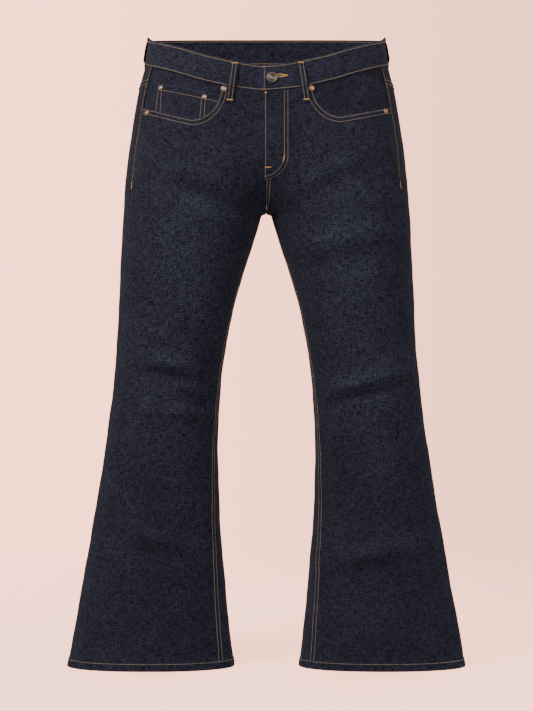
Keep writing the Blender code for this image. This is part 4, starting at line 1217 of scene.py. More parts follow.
    def sew_rise(self, cloth: Cloth, piece: str, heights: Array, insets: Sequence[float]) -> None:
        """Sews the double line beside a rise seam."""
        base = self.inner_turn(1.0)
        way = 1 if self.face is Face.FRONT else -1
        turns = FORM.nudge(np.full(len(heights), base + 0.02 * way), heights, 0.0)
        chord = FORM.point(turns + 0.01, heights) - FORM.point(turns - 0.01, heights)
        speed = np.linalg.norm(chord, axis=-1) / 0.02
        for inset in insets:
            self.sewing.add(piece, self.run(cloth, base + way * inset / np.maximum(speed, 0.02), heights))

    def sew_mouth(self, cloth: Cloth, piece: str) -> None:
        """Sews the double line round the pocket mouth."""
        start = SCOOPS[self.side][0]
        for widen in (0.0028, 0.0092):
            reach = FORM.low_across - start + widen
            drop = np.radians(np.linspace(2, 90, 60))
            arc = FORM.low_across - reach * np.cos(drop)
            end = float(FORM.column("outer", np.array(0.912))) - FORM.hip_inset - 0.001
            across = np.concatenate([arc, np.linspace(FORM.low_across, end, 90)[1:]])
            heights = FORM.scoop_height(across, self.side, widen)
            turns = FORM.turn_across(across, heights)
            keep = heights < FORM.waist_seam(turns) - 0.001
            self.sewing.add(piece, self.run(cloth, turns[keep], heights[keep]))


@dataclass
class Yoke(ClothPiece):
    """The yoke between the back panel and the waistband."""

    rows: int = 26
    columns: int = 69

    def grid(self) -> tuple[Array, Array]:
        """Turns and heights, from the yoke seam up, side seam first."""
        turns, heights = [], []
        for share in crowded(self.rows, 0.5):
            height = FORM.yoke_side + (WAIST_HEIGHT - FORM.band_height - FORM.yoke_side) * share
            start = float(FORM.nudge(FORM.side_seam(height), height, SEAM / 2))
            row = FORM.spaced(start, 4.0, height, crowded(self.columns))
            low, high = FORM.yoke_seam(row), FORM.waist_seam(row) - SEAM
            turns.append(row)
            heights.append(low + (high - low) * share)
        return np.array(turns), np.array(heights)

    def build(self) -> bpy.types.Object:
        """Builds, dresses and sews the yoke."""
        turns, heights = self.grid()
        seam = FORM.point(turns[0], heights[0])
        up = np.linspace(0.94, 0.995, 60)
        side = FORM.point(FORM.side_seam(up), up)
        centre = np.linspace(0.92, 1.02, 60)
        rise = FORM.point(4.0, centre)
        felled = 0.0005 if self.side is Side.LEFT else 0.0
        cloth = Cloth(
            self.side,
            [
                SeamLine(seam, 0.0005, 0.0100, 0.00022, 0.0100, 0.009, 0.0005, 3.1),
                SeamLine(side, 0.0, 0.003, 0.0002, 0.0100, 0.009, 0.0005, 4.2),
                SeamLine(rise, felled, 0.0100, 0.0002, 0.010, 0.009, 0.0005, 5.0),
                SeamLine(FORM.point(turns[-1], heights[-1]), 0.0, 0.003, 0.00015, 0.009, 0.007, 0.0003, 1.0),
            ],
        )
        outer, _, wear = cloth.surface(turns, heights)
        inner, _, _ = Cloth(self.side).surface(turns, heights, -CLOTH)
        name = f"yoke_{self.side.word}"
        item = shell(name, outer, inner, wear)
        flat, area = flat_cut(outer)
        self.dress(item, [name], flat, ["waistband"], area)
        for inset in (0.0018, 0.0080):
            row = np.interp(np.linspace(0, 1, 200), np.linspace(0, 1, self.columns), turns[0])
            self.stitch("stitching_back", cloth.surface(row, FORM.yoke_seam(row) + inset, 0.0002))
        if self.side is Side.LEFT:
            for inset in (0.0016, 0.0080):
                climb = np.linspace(0.9285, 1.0070, 60)
                turn = FORM.turn_across(np.full(60, 0.0003 + inset), climb, Face.BACK)
                self.stitch("stitching_back", cloth.surface(turn, climb, 0.0002))
        up = np.linspace(0.948, 0.987, 30)
        laid = cloth.surface(FORM.nudge(FORM.side_seam(up), up, SIDE_STITCH), up, 0.0002)
        self.stitch("stitching_back", laid, colour=ThreadColour.GOLD)
        return item


@dataclass
class PocketFacing(ClothPiece):
    """The denim behind a pocket mouth, which runs a little way under the front panel."""

    under: float = 0.010
    rows: int = 22
    columns: int = 60
    lift: float = -CLOTH - GAP
    wall: float = 0.0010

    def mouth(self) -> tuple[Array, Array]:
        """Turns and heights along the pocket mouth, evenly across."""
        start = SCOOPS[self.side][0]
        reach = FORM.low_across - start
        arc = FORM.low_across - reach * np.cos(np.radians(np.linspace(3, 90, 24)))
        end = float(FORM.column("outer", np.array(MOUTH_END))) - FORM.hip_inset
        across = np.concatenate([arc, np.linspace(FORM.low_across, end, self.columns - 23)[1:]])
        heights = FORM.scoop_height(across, self.side)
        turns = FORM.turn_across(across, heights)
        turns[-1] = FORM.nudge(FORM.side_seam(heights[-1]), heights[-1], -SEAM / 2)
        return turns, heights

    def grid(self) -> tuple[Array, Array]:
        """Turns and heights, from under the mouth up to the waistband."""
        turns, heights = self.mouth()
        across = FORM.point(turns, heights)[:, 0]
        tops = FORM.seam_turn(across)
        near_side = FORM.waist_seam(FORM.side_seam(np.array(WAIST_HEIGHT - FORM.band_height)))
        tops[-1] = FORM.nudge(FORM.side_seam(near_side), near_side, -SEAM / 2)
        high = FORM.waist_seam(tops) - SEAM
        low_turns = FORM.turn_across(across, heights - self.under)
        rows_t, rows_h = [low_turns, (low_turns + turns) / 2], [heights - self.under, heights - self.under / 2]
        for share in np.linspace(0, 1, self.rows):
            rows_t.append(turns + (tops - turns) * share)
            rows_h.append(heights + (high - heights) * share)
        return np.array(rows_t), np.array(rows_h)

    def build(self) -> bpy.types.Object:
        """Builds and dresses the facing."""
        turns, heights = self.grid()
        cloth = Cloth(self.side)
        base, _, wear = cloth.surface(turns, heights, self.lift)
        x, z = np.abs(base[..., 0]), base[..., 2] + WAIST_HEIGHT
        inside = smoothstep((heights - heights[2]) / 0.006)
        soft = 0.0007 * np.sin(95 * x + 150 * z + self.side.value)
        soft = soft + 0.0005 * np.sin(210 * x - 90 * z + 2.0 * self.side.value)
        dent = -0.0006 + soft * (1.0 if self.side is Side.LEFT else 0.35)
        shift = np.minimum(dent, 0.0002) * inside * smoothstep((heights[-1] - heights) / 0.008)
        outer, _, _ = cloth.surface(turns, heights, self.lift + shift)
        inner, _, _ = cloth.surface(turns, heights, self.lift - self.wall + shift)
        name = f"pocket_facing_{self.side.word}"
        item = shell(name, outer, inner, wear - 0.15)
        flat, area = flat_cut(outer)
        return self.dress(item, [name], flat, [f"front_{self.side.word}"], area)


def laid_on(cloth: Cloth, across: Array, heights: Array, face: Face, lift: Array) -> tuple[Array, Array, Array]:
    """Points, outward directions and wear of cloth laid over a panel at places across and heights."""
    turns = FORM.turn_across(np.abs(across), heights, face)
    return cloth.surface(turns, heights, lift)


@dataclass
class CoinPocket(ClothPiece):
    """The small pocket on the right facing, down to the pocket mouth."""

    start: float = 0.0760
    top: tuple[tuple[float, float], tuple[float, float]] = ((0.0776, 0.9238), (0.1716, 0.9469))
    outer_edge: tuple[tuple[float, float], tuple[float, float]] = ((0.1806, 0.890), (0.1714, 0.960))
    seams: tuple[tuple[float, float, float, float], ...] = (
        (0.0969, 0.9205, 0.0998, 0.884),
        (0.1025, 0.9215, 0.1063, 0.884),
        (0.1730, 0.9455, 0.1781, 0.898),
        (0.1680, 0.9445, 0.1704, 0.898),
    )
    wall: float = 0.0008
    rows: int = 40
    columns: int = 70

    def top_height(self, across: Array) -> Array:
        """Height of the slanting top edge."""
        (x0, z0), (x1, z1) = self.top
        return z0 + (np.asarray(across) - x0) * (z1 - z0) / (x1 - x0)

    def edge_across(self, height: Array) -> Array:
        """How far across the outer edge is at a height."""
        (x0, z0), (x1, z1) = self.outer_edge
        return x0 + (np.asarray(height) - z0) * (x1 - x0) / (z1 - z0)

    def place(self, share: Array, down: Array) -> tuple[Array, Array]:
        """Across and height for shares across the pocket and down it."""
        wide = self.edge_across(0.935)
        across = self.start + (wide - self.start) * share
        high = self.top_height(across)
        low = FORM.scoop_height(across, self.side) + 0.0004
        height = high + (low - high) * down
        return across + (self.edge_across(height) - wide) * share, height

    def build(self) -> bpy.types.Object:
        """Builds, dresses and sews the coin pocket."""
        share, down = np.meshgrid(crowded(self.columns), crowded(self.rows), indexing="xy")
        across, heights = self.place(share, down)
        cloth = Cloth(self.side)
        edge = np.minimum(np.minimum(share, 1 - share) * 0.09, down * 0.04)
        fold = 0.0005 * smoothstep((0.0085 - down * 0.045) / 0.0015)
        lift = -CLOTH + self.wall - 0.0002 + fold - 0.0004 * falloff(edge, 0.0008)
        outer, _, wear = laid_on(cloth, across, heights, Face.FRONT, lift)
        inner, _, _ = laid_on(cloth, across, heights, Face.FRONT, -CLOTH - 0.0002)
        rub = 1.4 * falloff(down * 0.04, 0.0013) * (0.8 + 0.3 * np.sin(across * 900))
        item = shell("coin_pocket", outer, inner, wear + 0.3 * falloff(edge, 0.002) + rub)
        flat, area = flat_cut(outer)
        self.dress(item, ["coin_pocket"], flat, ["pocket_facing_right"], area)
        lines: list[tuple[Array, Array]] = []
        ends = np.linspace(0, 1, 80)
        x, z = self.place(ends, np.zeros(80))
        lines.append((x, z - 0.0108))
        for x0, z0, x1, z1 in self.seams:
            lines.append((np.linspace(x0, x1, 80), np.linspace(z0, z1, 80)))
        for x, z in lines:
            keep = z > FORM.scoop_height(x, self.side) + 0.0010
            self.stitch("stitching_front", laid_on(cloth, x[keep], z[keep], Face.FRONT, -CLOTH + self.wall + 0.0003))
        return item


@dataclass
class BackPocket(ClothPiece):
    """A plain patch pocket with a pointed foot."""

    CORNERS: ClassVar = ((0.0, 0.0), (0.0, 1.0), (0.5, 1.0), (1.0, 1.0), (1.0, 0.0))
    across: float = 0.098
    top: float = 0.908
    width: float = 0.142
    foot_width: float = 0.122
    depth: float = 0.128
    point: float = 0.026
    slope: float = 0.06
    wall: float = CLOTH
    rows: int = 74
    columns: int = 81

    def place(self, share: Array, down: Array, inset: float = 0.0) -> tuple[Array, Array]:
        """Across and height for shares across the pocket and down it, drawn in by an inset."""
        s = np.asarray(share) * 2 - 1
        half, foot = self.width / 2 - inset, self.foot_width / 2 - inset
        high = self.top + s * half * self.slope
        low = self.top - self.depth - (self.point - inset * 0.25) * (1 - np.abs(s)) + inset * 0.9
        height = high + (low - high) * np.asarray(down)
        narrowed = np.clip((high - height) / self.depth, 0, 1)
        return self.across + s * (half + (foot - half) * narrowed), height

    def build(self) -> bpy.types.Object:
        """Builds, dresses and sews the pocket."""
        share, down = np.meshgrid(crowded(self.columns, 0.5), crowded(self.rows, 0.5), indexing="xy")
        across, heights = self.place(share, down)
        panel = LegPanel(self.side, self.denim, self.sewing, face=Face.BACK)
        cloth = panel.cloth()
        cloth = Cloth(self.side, cloth.seams[-1:])
        edge = np.minimum(share, 1 - share) * self.width
        edge = np.minimum(edge, np.minimum(down, 1 - down) * (self.depth + 0.01))
        hem = 0.0004 * smoothstep((0.016 - down * 0.14) / 0.002)
        sag = 0.0010 * np.sin(math.pi * share) ** 2 * np.exp(-((down - 0.25) / 0.4) ** 2)
        gather = 0.00022 * np.sin(2 * math.pi * (share * 14 + down * 15)) * falloff(edge, 0.008)
        lift = 0.0004 + self.wall + hem + sag + gather - 0.0006 * falloff(edge, 0.0008)
        outer, _, wear = laid_on(cloth, across, heights, Face.BACK, lift)
        inner, _, _ = laid_on(cloth, across, heights, Face.BACK, 0.0004)
        name = f"back_pocket_{self.side.word}"
        item = shell(name, outer, inner, wear + 0.35 * falloff(edge, 0.0025))
        flat, area = flat_cut(outer)
        self.dress(item, [name], flat, [f"back_{self.side.word}"], area)
        for inset in (0.0018, 0.0080):
            corners = [self.place(s, d, inset) for s, d in self.CORNERS]
            outline = resample(np.array(corners, float))
            self.line(cloth, outline)
        for drop in (0.0100, 0.0160):
            x, z = self.place(np.linspace(0.02, 0.98, 100), np.zeros(100))
            self.line(cloth, np.stack([x, z - drop], -1))
        for s in (0.0, 1.0):
            x, z = self.place(np.full(24, s), np.linspace(0.0, 0.07, 24), 0.0018)
            laid = laid_on(cloth, x, z, Face.BACK, 0.0004 + self.wall + 0.0009)
            self.stitch("stitching_back", laid, BAR_TACK, ThreadColour.GOLD)
        return item

    def line(self, cloth: Cloth, outline: Array) -> None:
        """Sews along a line of places across and heights."""
        s = (outline[:, 0] - self.across) / self.width + 0.5
        down = (self.top - outline[:, 1]) / (self.depth + self.point)
        sag = 0.0010 * np.sin(math.pi * s) ** 2 * np.exp(-((down - 0.25) / 0.4) ** 2)
        lift = 0.0004 + self.wall + 0.0004 + sag
        self.stitch("stitching_back", laid_on(cloth, outline[:, 0], outline[:, 1], Face.BACK, lift))


@dataclass
class Fly(ClothPiece):
    """The fly: the wearer's left front laps over the right, down to a curved foot."""

    edge: float = -0.0030
    width: float = 0.0352
    foot: float = 0.7915
    bend: float = 0.0350
    wall: float = 0.0010
    rows: int = 130
    columns: int = 34

    def curve_across(self, height: Array, inset: float = 0.0) -> Array:
        """How far across the J line is at a height."""
        reach, bend = self.width - self.edge - inset, self.bend - inset * 0.3
        low = self.foot + inset * 0.9
        share = np.clip((low + bend - np.asarray(height)) / bend, 0, 1)
        return self.edge + reach * np.sqrt(np.clip(1 - share**2, 0, 1))

    def lay(self, across: Array, heights: Array, lift: Array) -> tuple[Array, Array, Array]:
        """Lays the fly's places over both fronts."""
        left = laid_on(Cloth(self.side), np.maximum(across, 0.0003), heights, Face.FRONT, lift)
        beyond = np.minimum(across, 0.0003) - 0.0003
        points = left[0] + beyond[..., None] * np.array([1.0, 0, 0])
        return points, left[1], left[2]

    def build(self) -> bpy.types.Object:
        """Builds, dresses and sews the fly."""
        share, down = np.meshgrid(crowded(self.columns, 0.5), np.linspace(0, 1, self.rows), indexing="xy")
        low = self.foot + 0.0012
        rough = self.edge + (self.width - self.edge) * share
        high = FORM.waist_seam(FORM.turn_across(np.maximum(rough, 0.0003), 0.932)) - GAP - 0.0002
        heights = high + (low - high) * down
        across = self.edge + (self.curve_across(heights) - self.edge) * share
        to_curve = self.curve_across(heights) - across
        bevel = smoothstep(to_curve / 0.0050)
        roll = 0.0004 * falloff(across - self.edge, 0.0009)
        wave = 0.00022 * np.sin(heights * 640) * falloff(across - self.edge, 0.010)
        thick = 0.00025 + (self.wall + 0.0003) * bevel
        outer, _, wear = self.lay(across, heights, 0.0006 + thick * bevel - roll + wave)
        inner, _, _ = self.lay(across, heights, 0.0002 * bevel - 0.0003)
        worn = 0.45 * falloff(across - self.edge, 0.0020) * (0.6 + 0.4 * np.sin(heights * 700))
        item = shell("fly", outer, inner, wear + worn)
        flat, area = flat_cut(outer)
        self.dress(item, ["fly"], flat, ["front_left", "waistband"], area)
        for inset in (0.0000, 0.0055):
            z = np.linspace(0.9300, self.foot + inset * 0.9 + 0.0001, 500)
            x = self.curve_across(z, inset) - 0.0012
            self.line(resample(np.stack([x, z], -1), 0.001))
        z = np.linspace(0.9290, 0.7955, 160)
        self.line(np.stack([np.full(160, self.edge + 0.0018), z], -1))
        tack = np.linspace(0.8190, 0.8270, 16)
        x = self.curve_across(tack, 0.0055) - 0.0012
        self.line(np.stack([x, tack], -1), BAR_TACK, ThreadColour.GOLD)
        x = np.linspace(self.edge + 0.001, self.edge + 0.0100, 20)
        self.line(np.stack([x, np.full(20, 0.8100)], -1), BAR_TACK, ThreadColour.GOLD)
        x = np.linspace(self.edge + 0.0004, self.edge + 0.0034, 12)
        self.line(np.stack([x, np.full(12, 0.9275)], -1), BAR_TACK, ThreadColour.GOLD)
        return item

    def line(self, places: Array, style: StitchStyle = TOPSTITCH, colour: ThreadColour = ThreadColour.TAN) -> None:
        """Sews along a line of places across and heights."""
        to_curve = self.curve_across(places[:, 1]) - places[:, 0]
        bevel = smoothstep(to_curve / 0.0050)
        lift = 0.0008 + (0.00025 + (self.wall + 0.0003) * bevel) * bevel + 0.0001
        self.stitch("stitching_front", self.lay(places[:, 0], places[:, 1], lift), style, colour)


@dataclass
class Waistband(ClothPiece):
    """One strip round the waist, whose wearer's left end laps over its own start."""

    wall: float = 0.0026
    proud: float = 0.0008
    crown: float = 0.0006
    lap: float = 0.0015
    under: float = 0.032
    lap_end: float = -0.0050
    ramp: float = 0.016
    lines: tuple[float, float] = (0.0032, 0.0396)
    rows: int = 25
    stations: int = 420

    def way(self) -> tuple[Array, Array, Array]:
        """The strip's turns, from under the wearer's left front round to the lapped end.

        Returns:
            Turns, which half each is on (1 or -1), and the share of the way.
        """
        end = float(FORM.turn_across(-self.lap_end, BAND_LEVEL))
        start = float(FORM.turn_across(self.under, 0.95))
        fine = np.linspace(0, 4, 1200)
        steps = np.linalg.norm(np.diff(FORM.point(fine, 0.98), axis=0), axis=1)
        run = np.concatenate([[0], np.cumsum(steps)])
        total = run[-1]
        before, beyond = float(np.interp(start, fine, run)), float(np.interp(end, fine, run))
        signed = np.linspace(-before, 2 * total + beyond, self.stations)
        turns, halves = [], []
        for length in signed:
            if length < 0:
                turns.append(np.interp(-length, run, fine))
                halves.append(1)
            elif length <= total:
                turns.append(np.interp(length, run, fine))
                halves.append(-1)
            elif length <= 2 * total:
                turns.append(np.interp(2 * total - length, run, fine))
                halves.append(1)
            else:
                turns.append(np.interp(length - 2 * total, run, fine))
                halves.append(-1)
        return np.array(turns), np.array(halves), np.linspace(0, 1, self.stations)

    def shift(self, turns: Array, halves: Array, share: Array) -> Array:
        """How far the strip stands off the form where it passes under or over itself."""
        across = FORM.point(turns, BAND_LEVEL)[..., 0] * halves
        sink = np.where(share < 0.2, smoothstep((across + 2 * self.ramp) / self.ramp), 0) * -self.lap
        swell = np.where(share > 0.8, smoothstep((self.under + self.ramp - across) / self.ramp), 0)
        return sink + swell * (self.wall + GAP - self.lap) + self.proud

    def strip(self, turns: Array, halves: Array, down: Array, lift: Array) -> tuple[Array, Array]:
        """Points and outward directions at these turns and shares down the strip."""
        height = FORM.band_top(turns) - FORM.band_height * down
        sides = [Cloth(side).surface(turns, height, lift) for side in (Side.LEFT, Side.RIGHT)]
        on_left = (halves > 0)[..., None]
        return np.where(on_left, sides[0][0], sides[1][0]), np.where(on_left, sides[0][1], sides[1][1])

    def build(self) -> bpy.types.Object:
        """Builds, dresses and sews the waistband."""
        turns, halves, share = self.way()
        down = crowded(self.rows, 0.80)[:, None] * np.ones(self.stations)
        shift = self.shift(turns, halves, share)[None, :]
        edge = np.minimum(down, 1 - down) * FORM.band_height
        ends = np.minimum(share, 1 - share)[None, :] * 1.1
        edge = np.minimum(edge, ends)
        belly = self.crown * (1 - (2 * down - 1) ** 2)
        round_off = 0.0009 * np.clip(1 - edge / 0.0012, 0, 1) ** 2
        channel = 0.00035 * sum(falloff(down * FORM.band_height - at, 0.0009) for at in self.lines)
        run = np.linspace(0, 1.12, self.stations)[None, :]
        gather = 0.00020 * np.sin(run * 660 + 2 * np.sin(run * 61)) * falloff(edge, 0.006)
        halves2 = halves[None, :] * np.ones_like(down)
        turns2 = turns[None, :] * np.ones_like(down)
        outer, _ = self.strip(turns2, halves2, down, shift + belly - round_off - channel + gather)
        inner, _ = self.strip(turns2, halves2, down, shift - self.wall + round_off + 0.0001)
        rub = (0.7 + 0.3 * np.sin(run * 520 + 3 * np.sin(run * 47))) * falloff(down * FORM.band_height, 0.0016)
        rub = np.maximum(rub, falloff((1 - share)[None, :] * 1.1, 0.0016) * np.ones_like(down))
        wear = 0.34 + 0.4 * falloff(edge, 0.0016) + 0.9 * rub + 0.25 * (gather > 0.00008)
        item = shell("waistband", outer, inner, wear)
        flat, area = flat_cut(outer)
        self.dress(item, ["waistband"], (flat[0], FORM.band_height), ["belt_loop_back"])
        for at in self.lines:
            place = np.full(self.stations, at / FORM.band_height)
            points, outwards = self.strip(turns, halves, place, shift[0] + 0.0002)
            keep = share > 0.029
            self.sewing.add("stitching_waistband", Run(points[keep], outwards[keep]), colour=ThreadColour.YELLOW)
            points, outwards = self.strip(turns, halves, place, shift[0] - self.wall - 0.0001)
            self.sewing.add("stitching_waistband", Run(points, -outwards), colour=ThreadColour.YELLOW)
        last = self.stations - 1
        edge_turn = float(FORM.turn_across(-self.lap_end - 0.0022, BAND_LEVEL))
        downs = np.linspace(*self.lines, 40) / FORM.band_height
        lift = shift[0][last] + self.crown * 0.8
        laid = self.strip(np.full(40, edge_turn), np.full(40, -1), downs, lift)
        self.stitch("stitching_waistband", laid, colour=ThreadColour.YELLOW)
        self.buttonhole(float(shift[0][last]))
        return item

    def buttonhole(self, shift: float) -> None:
        """Sews the buttonhole's ring beside the button."""
        angle = np.linspace(0, 2 * math.pi, 90)
        x = 0.0250 + 0.0088 * np.cos(angle)
        z = 0.9546 + (0.0016 - 0.0012 * np.cos(angle)) * np.sin(angle)
        turns = FORM.turn_across(x, z)
        top = FORM.band_top(turns)
        down, lift = (top - z) / FORM.band_height, shift + self.crown + 0.0002
        laid = self.strip(turns, np.ones(90, int), down, lift)
        self.stitch("stitching_waistband", laid, BUTTONHOLE, ThreadColour.GOLD)


@dataclass
class Hem(ClothPiece):
    """The turned hem, a ring round the foot of a leg."""

    proud: float = 0.0007
    wall: float = 0.0026
    columns: int = 360
    rows: int = 18

    def build(self) -> bpy.types.Object:
        """Builds, dresses and sews the hem."""
        turns = FORM.spaced(0.0, 4.0, 0.0, np.linspace(0, 1, self.columns + 1))[:-1]
        heights = HEM_HEIGHT * (1 - crowded(self.rows, 0.7))[:, None] * np.ones(self.columns)
        run = np.linspace(0, 0.62, self.columns + 1)[:-1][None, :]
        laps = round(0.62 / 0.0098)
        phase = 2 * math.pi * laps * run / 0.62
        rope = 0.00042 * np.sin(phase + heights * 260 + 1.2 * np.sin(20 * math.pi * run / 0.62))
        middle = np.sin(math.pi * heights / HEM_HEIGHT)
        edge = np.minimum(heights, HEM_HEIGHT - heights)
        round_off = 0.0009 * np.clip(1 - edge / 0.0012, 0, 1) ** 2
        cloth = Cloth(self.side)
        turns2 = turns[None, :] * np.ones_like(heights)
        outer, _, wear = cloth.surface(turns2, heights, self.proud + rope * (0.35 + 0.65 * middle) - round_off)
        inner, _, _ = cloth.surface(turns2, heights, self.proud - self.wall + round_off)
        floor = heights - WAIST_HEIGHT
        outer[..., 2], inner[..., 2] = floor, floor
        name = f"hem_{self.side.word}"
        worn = 0.18 + 0.45 * np.clip(rope / 0.0004, 0, 1) + 0.3 * falloff(heights, 0.003)
        item = shell(name, outer, inner, wear + worn, ring=True)
        panels = [f"front_{self.side.word}", f"back_{self.side.word}"]
        self.dress(item, [name], (flat_cut(outer)[0][0], HEM_HEIGHT), panels)
        ring = np.append(turns, turns[0] + 4.0)
        height = np.full(len(ring), 0.0122)
        self.stitch("stitching_hems", cloth.surface(ring, height, self.proud + 0.0002))
        points, outwards, _ = cloth.surface(ring, height, self.proud - self.wall - 0.0001)
        self.sewing.add("stitching_hems", Run(points, -outwards))
        return item


@dataclass
class BeltLoop(ClothPiece):
    """A strap over the waistband: flat on the cloth at both ends, clear of it between them."""

    name: str = "belt_loop_back"
    face: Face = Face.BACK
    top_across: float = 0.0
    foot_across: float = 0.0
    width: float = 0.0115
    wall: float = 0.0016
    stand_off: float = 0.0033
    length: float = 0.0655
    below_top: float = 0.0028
    rows: int = 54
    columns: int = 13

    def build(self) -> bpy.types.Object:
        """Builds, dresses and sews the loop."""
        top_turn = FORM.turn_across(np.array(self.top_across), np.array(WAIST_HEIGHT - FORM.band_height), self.face)
        top = float(FORM.band_top(top_turn)) - self.below_top
        down = np.linspace(0, 1, self.rows)
        clear = np.interp(down, (0, 0.08, 0.2, 0.38, 0.62, 0.80, 0.92, 1), (0, 0, 0.8, 1, 1, 0.7, 0, 0))
        clear = np.convolve(np.pad(clear, 3, mode="edge"), np.ones(7) / 7, mode="valid")
        band_low = FORM.band_height / self.length
        on_band = smoothstep((band_low - down) / 0.05)
        seat = 0.0004 + on_band * 0.0013 + self.stand_off * clear
        shares = np.linspace(-1, 1, self.columns)
        heights = top - self.length * down[:, None] * np.ones(self.columns)
        middle = self.top_across + (self.foot_across - self.top_across) * down[:, None]
        across = middle + shares[None, :] * self.width / 2
        sides = np.where(across < 0, -1, 1) if self.top_across == 0 else np.full(across.shape, self.side.value)
        turns = FORM.turn_across(np.abs(across), heights, self.face)
        ridge = 0.00035 * (falloff(np.abs(shares) - 0.62, 0.22))
        round_off = 0.0009 * np.clip((np.abs(shares) - 0.80) / 0.20, 0, 1) ** 2
        fold = 0.0008 * (smoothstep((0.10 - down) / 0.02) + smoothstep((down - 0.90) / 0.02))
        lift = seat[:, None] + self.wall + ridge - round_off + fold[:, None]
        outer, outwards = self.lay(turns, heights, sides, lift)
        inner, _ = self.lay(turns, heights, sides, seat[:, None] * np.ones_like(lift))
        wear = 0.25 + 0.5 * falloff(np.abs(shares) - 0.85, 0.12)[None, :] * np.ones_like(across)
        item = shell(self.name, outer, inner, wear)
        flat, _ = flat_cut(outer)
        self.dress(item, [self.name], flat, ["waistband"])
        for at in (0.055, 0.945):
            row = int(at * (self.rows - 1))
            self.sewing.add(
                "stitching_loops",
                Run(outer[row, 1:-1] + outwards[row, 1:-1] * 0.0003, outwards[row, 1:-1]),
                BAR_TACK,
                ThreadColour.GOLD,
            )
        for column in (3, self.columns - 4):
            run = slice(4, self.rows - 4)
            way = outwards[run, column]
            self.sewing.add("stitching_loops", Run(outer[run, column] + way * 0.0002, way))
        return item

    def lay(self, turns: Array, heights: Array, sides: Array, lift: Array) -> tuple[Array, Array]:
        """Points and outward directions on the half that each place is on."""
        both = [Cloth(side).surface(turns, heights, lift) for side in (Side.LEFT, Side.RIGHT)]
        on_left = (sides > 0)[..., None]
        return np.where(on_left, both[0][0], both[1][0]), np.where(on_left, both[0][1], both[1][1])


@dataclass
class TurnedCap:
    """A metal cap turned round its own axis: a button or a rivet."""

    name: str
    slot: str
    profile: Sequence[Triple]
    place: Array
    outward: Array
    finish: bpy.types.Material
    steps: int = 48

    def build(self) -> bpy.types.Object:
        """Builds the cap from its profile of radius, height and hollow value: patina depth above 0, and below 0 the
        rivet's silver post with its painted highlight.
        """
        rings = self.profile[1:-1]
        axis = self.outward / np.linalg.norm(self.outward)
        across = np.cross(axis, (0.0, 0.0, 1.0))
        across = across / np.linalg.norm(across)
        up = np.cross(axis, across)
        turn = np.linspace(0, 2 * math.pi, self.steps, endpoint=False)
        points = [self.place + axis * self.profile[0][1]]
        hollow = [self.profile[0][2]]
        for radius, height, depth in rings:
            ring = self.place + axis * height + radius * (np.cos(turn)[:, None] * across + np.sin(turn)[:, None] * up)
            points += list(ring)
            hollow += [depth] * self.steps
        points.append(self.place + axis * self.profile[-1][1])
        hollow.append(self.profile[-1][2])
        last = len(points) - 1
        faces: list[list[int]] = []
        for i in range(self.steps):
            j = (i + 1) % self.steps
            faces.append([0, 1 + i, 1 + j])
            for ring in range(len(rings) - 1):
                a, b = 1 + ring * self.steps, 1 + (ring + 1) * self.steps
                faces.append([a + i, b + i, b + j, a + j])
            a = 1 + (len(rings) - 1) * self.steps
            faces.append([last, a + j, a + i])
        mesh = bpy.data.meshes.new(self.name)
        mesh.from_pydata([tuple(p) for p in points], [], faces)
        mesh.update()
        corners = [mesh.vertices[i].co for i in mesh.polygons[0].vertices]
        if (corners[1] - corners[0]).cross(corners[2] - corners[0]).dot(corners[0] - mesh.vertices[last].co) < 0:
            mesh.flip_normals()
        mesh.attributes.new("hollow", "FLOAT", "POINT").data.foreach_set("value", np.array(hollow, np.float32))
        mesh.shade_smooth()
        mesh.set_sharp_from_angle(angle=math.radians(50))
        mesh.materials.append(self.finish)
        item = bpy.data.objects.new(self.name, mesh)
        bpy.context.scene.collection.objects.link(item)
        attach(item, "root")
        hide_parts(self.name)
        LOG.info("turned %s", self.name)
        return item


def cap_profile(
    radius: float, height: float, rows: Iterable[Triple]
) -> list[Triple]:
    """A cap's profile from rows in shares of its radius and height."""
    return [(radius * r, height * z, hollow) for r, z, hollow in rows]


BUTTON_ROWS = (
    (0, 0.66, 0.6), (0.10, 0.70, 0.5), (0.22, 0.78, 0.1), (0.30, 0.74, 0.4), (0.36, 0.62, 0.9), (0.42, 0.62, 0.9),
    (0.47, 0.76, 0.3), (0.53, 0.82, 0.0), (0.59, 0.76, 0.3), (0.64, 0.66, 0.9), (0.70, 0.66, 0.9), (0.76, 0.82, 0.3),
    (0.84, 0.98, 0.0), (0.91, 1.00, 0.0), (0.97, 0.92, 0.1), (1.00, 0.76, 0.3), (0.97, 0.58, 0.5), (0.86, 0.46, 0.7),
    (0.50, 0.38, 0.9), (0.46, 0.0, 0.9), (0, 0, 0.9),
)
# radius share, height share, hollow value: above 0 patina in the hollows, below 0 the silver post with a painted
# highlight
RIVET_ROWS = (
    (0, 1.0, -1.0), (0.14, 0.99, -1.0), (0.26, 0.92, -0.6), (0.34, 0.76, 0.2), (0.38, 0.56, 0.9), (0.46, 0.48, 0.9),
    (0.54, 0.56, 0.4), (0.66, 0.68, 0.0), (0.78, 0.66, 0.0), (0.90, 0.50, 0.1), (0.98, 0.28, 0.3), (1.0, 0.10, 0.6),
    (0.96, 0.0, 0.8), (0, 0, 0.8),
)
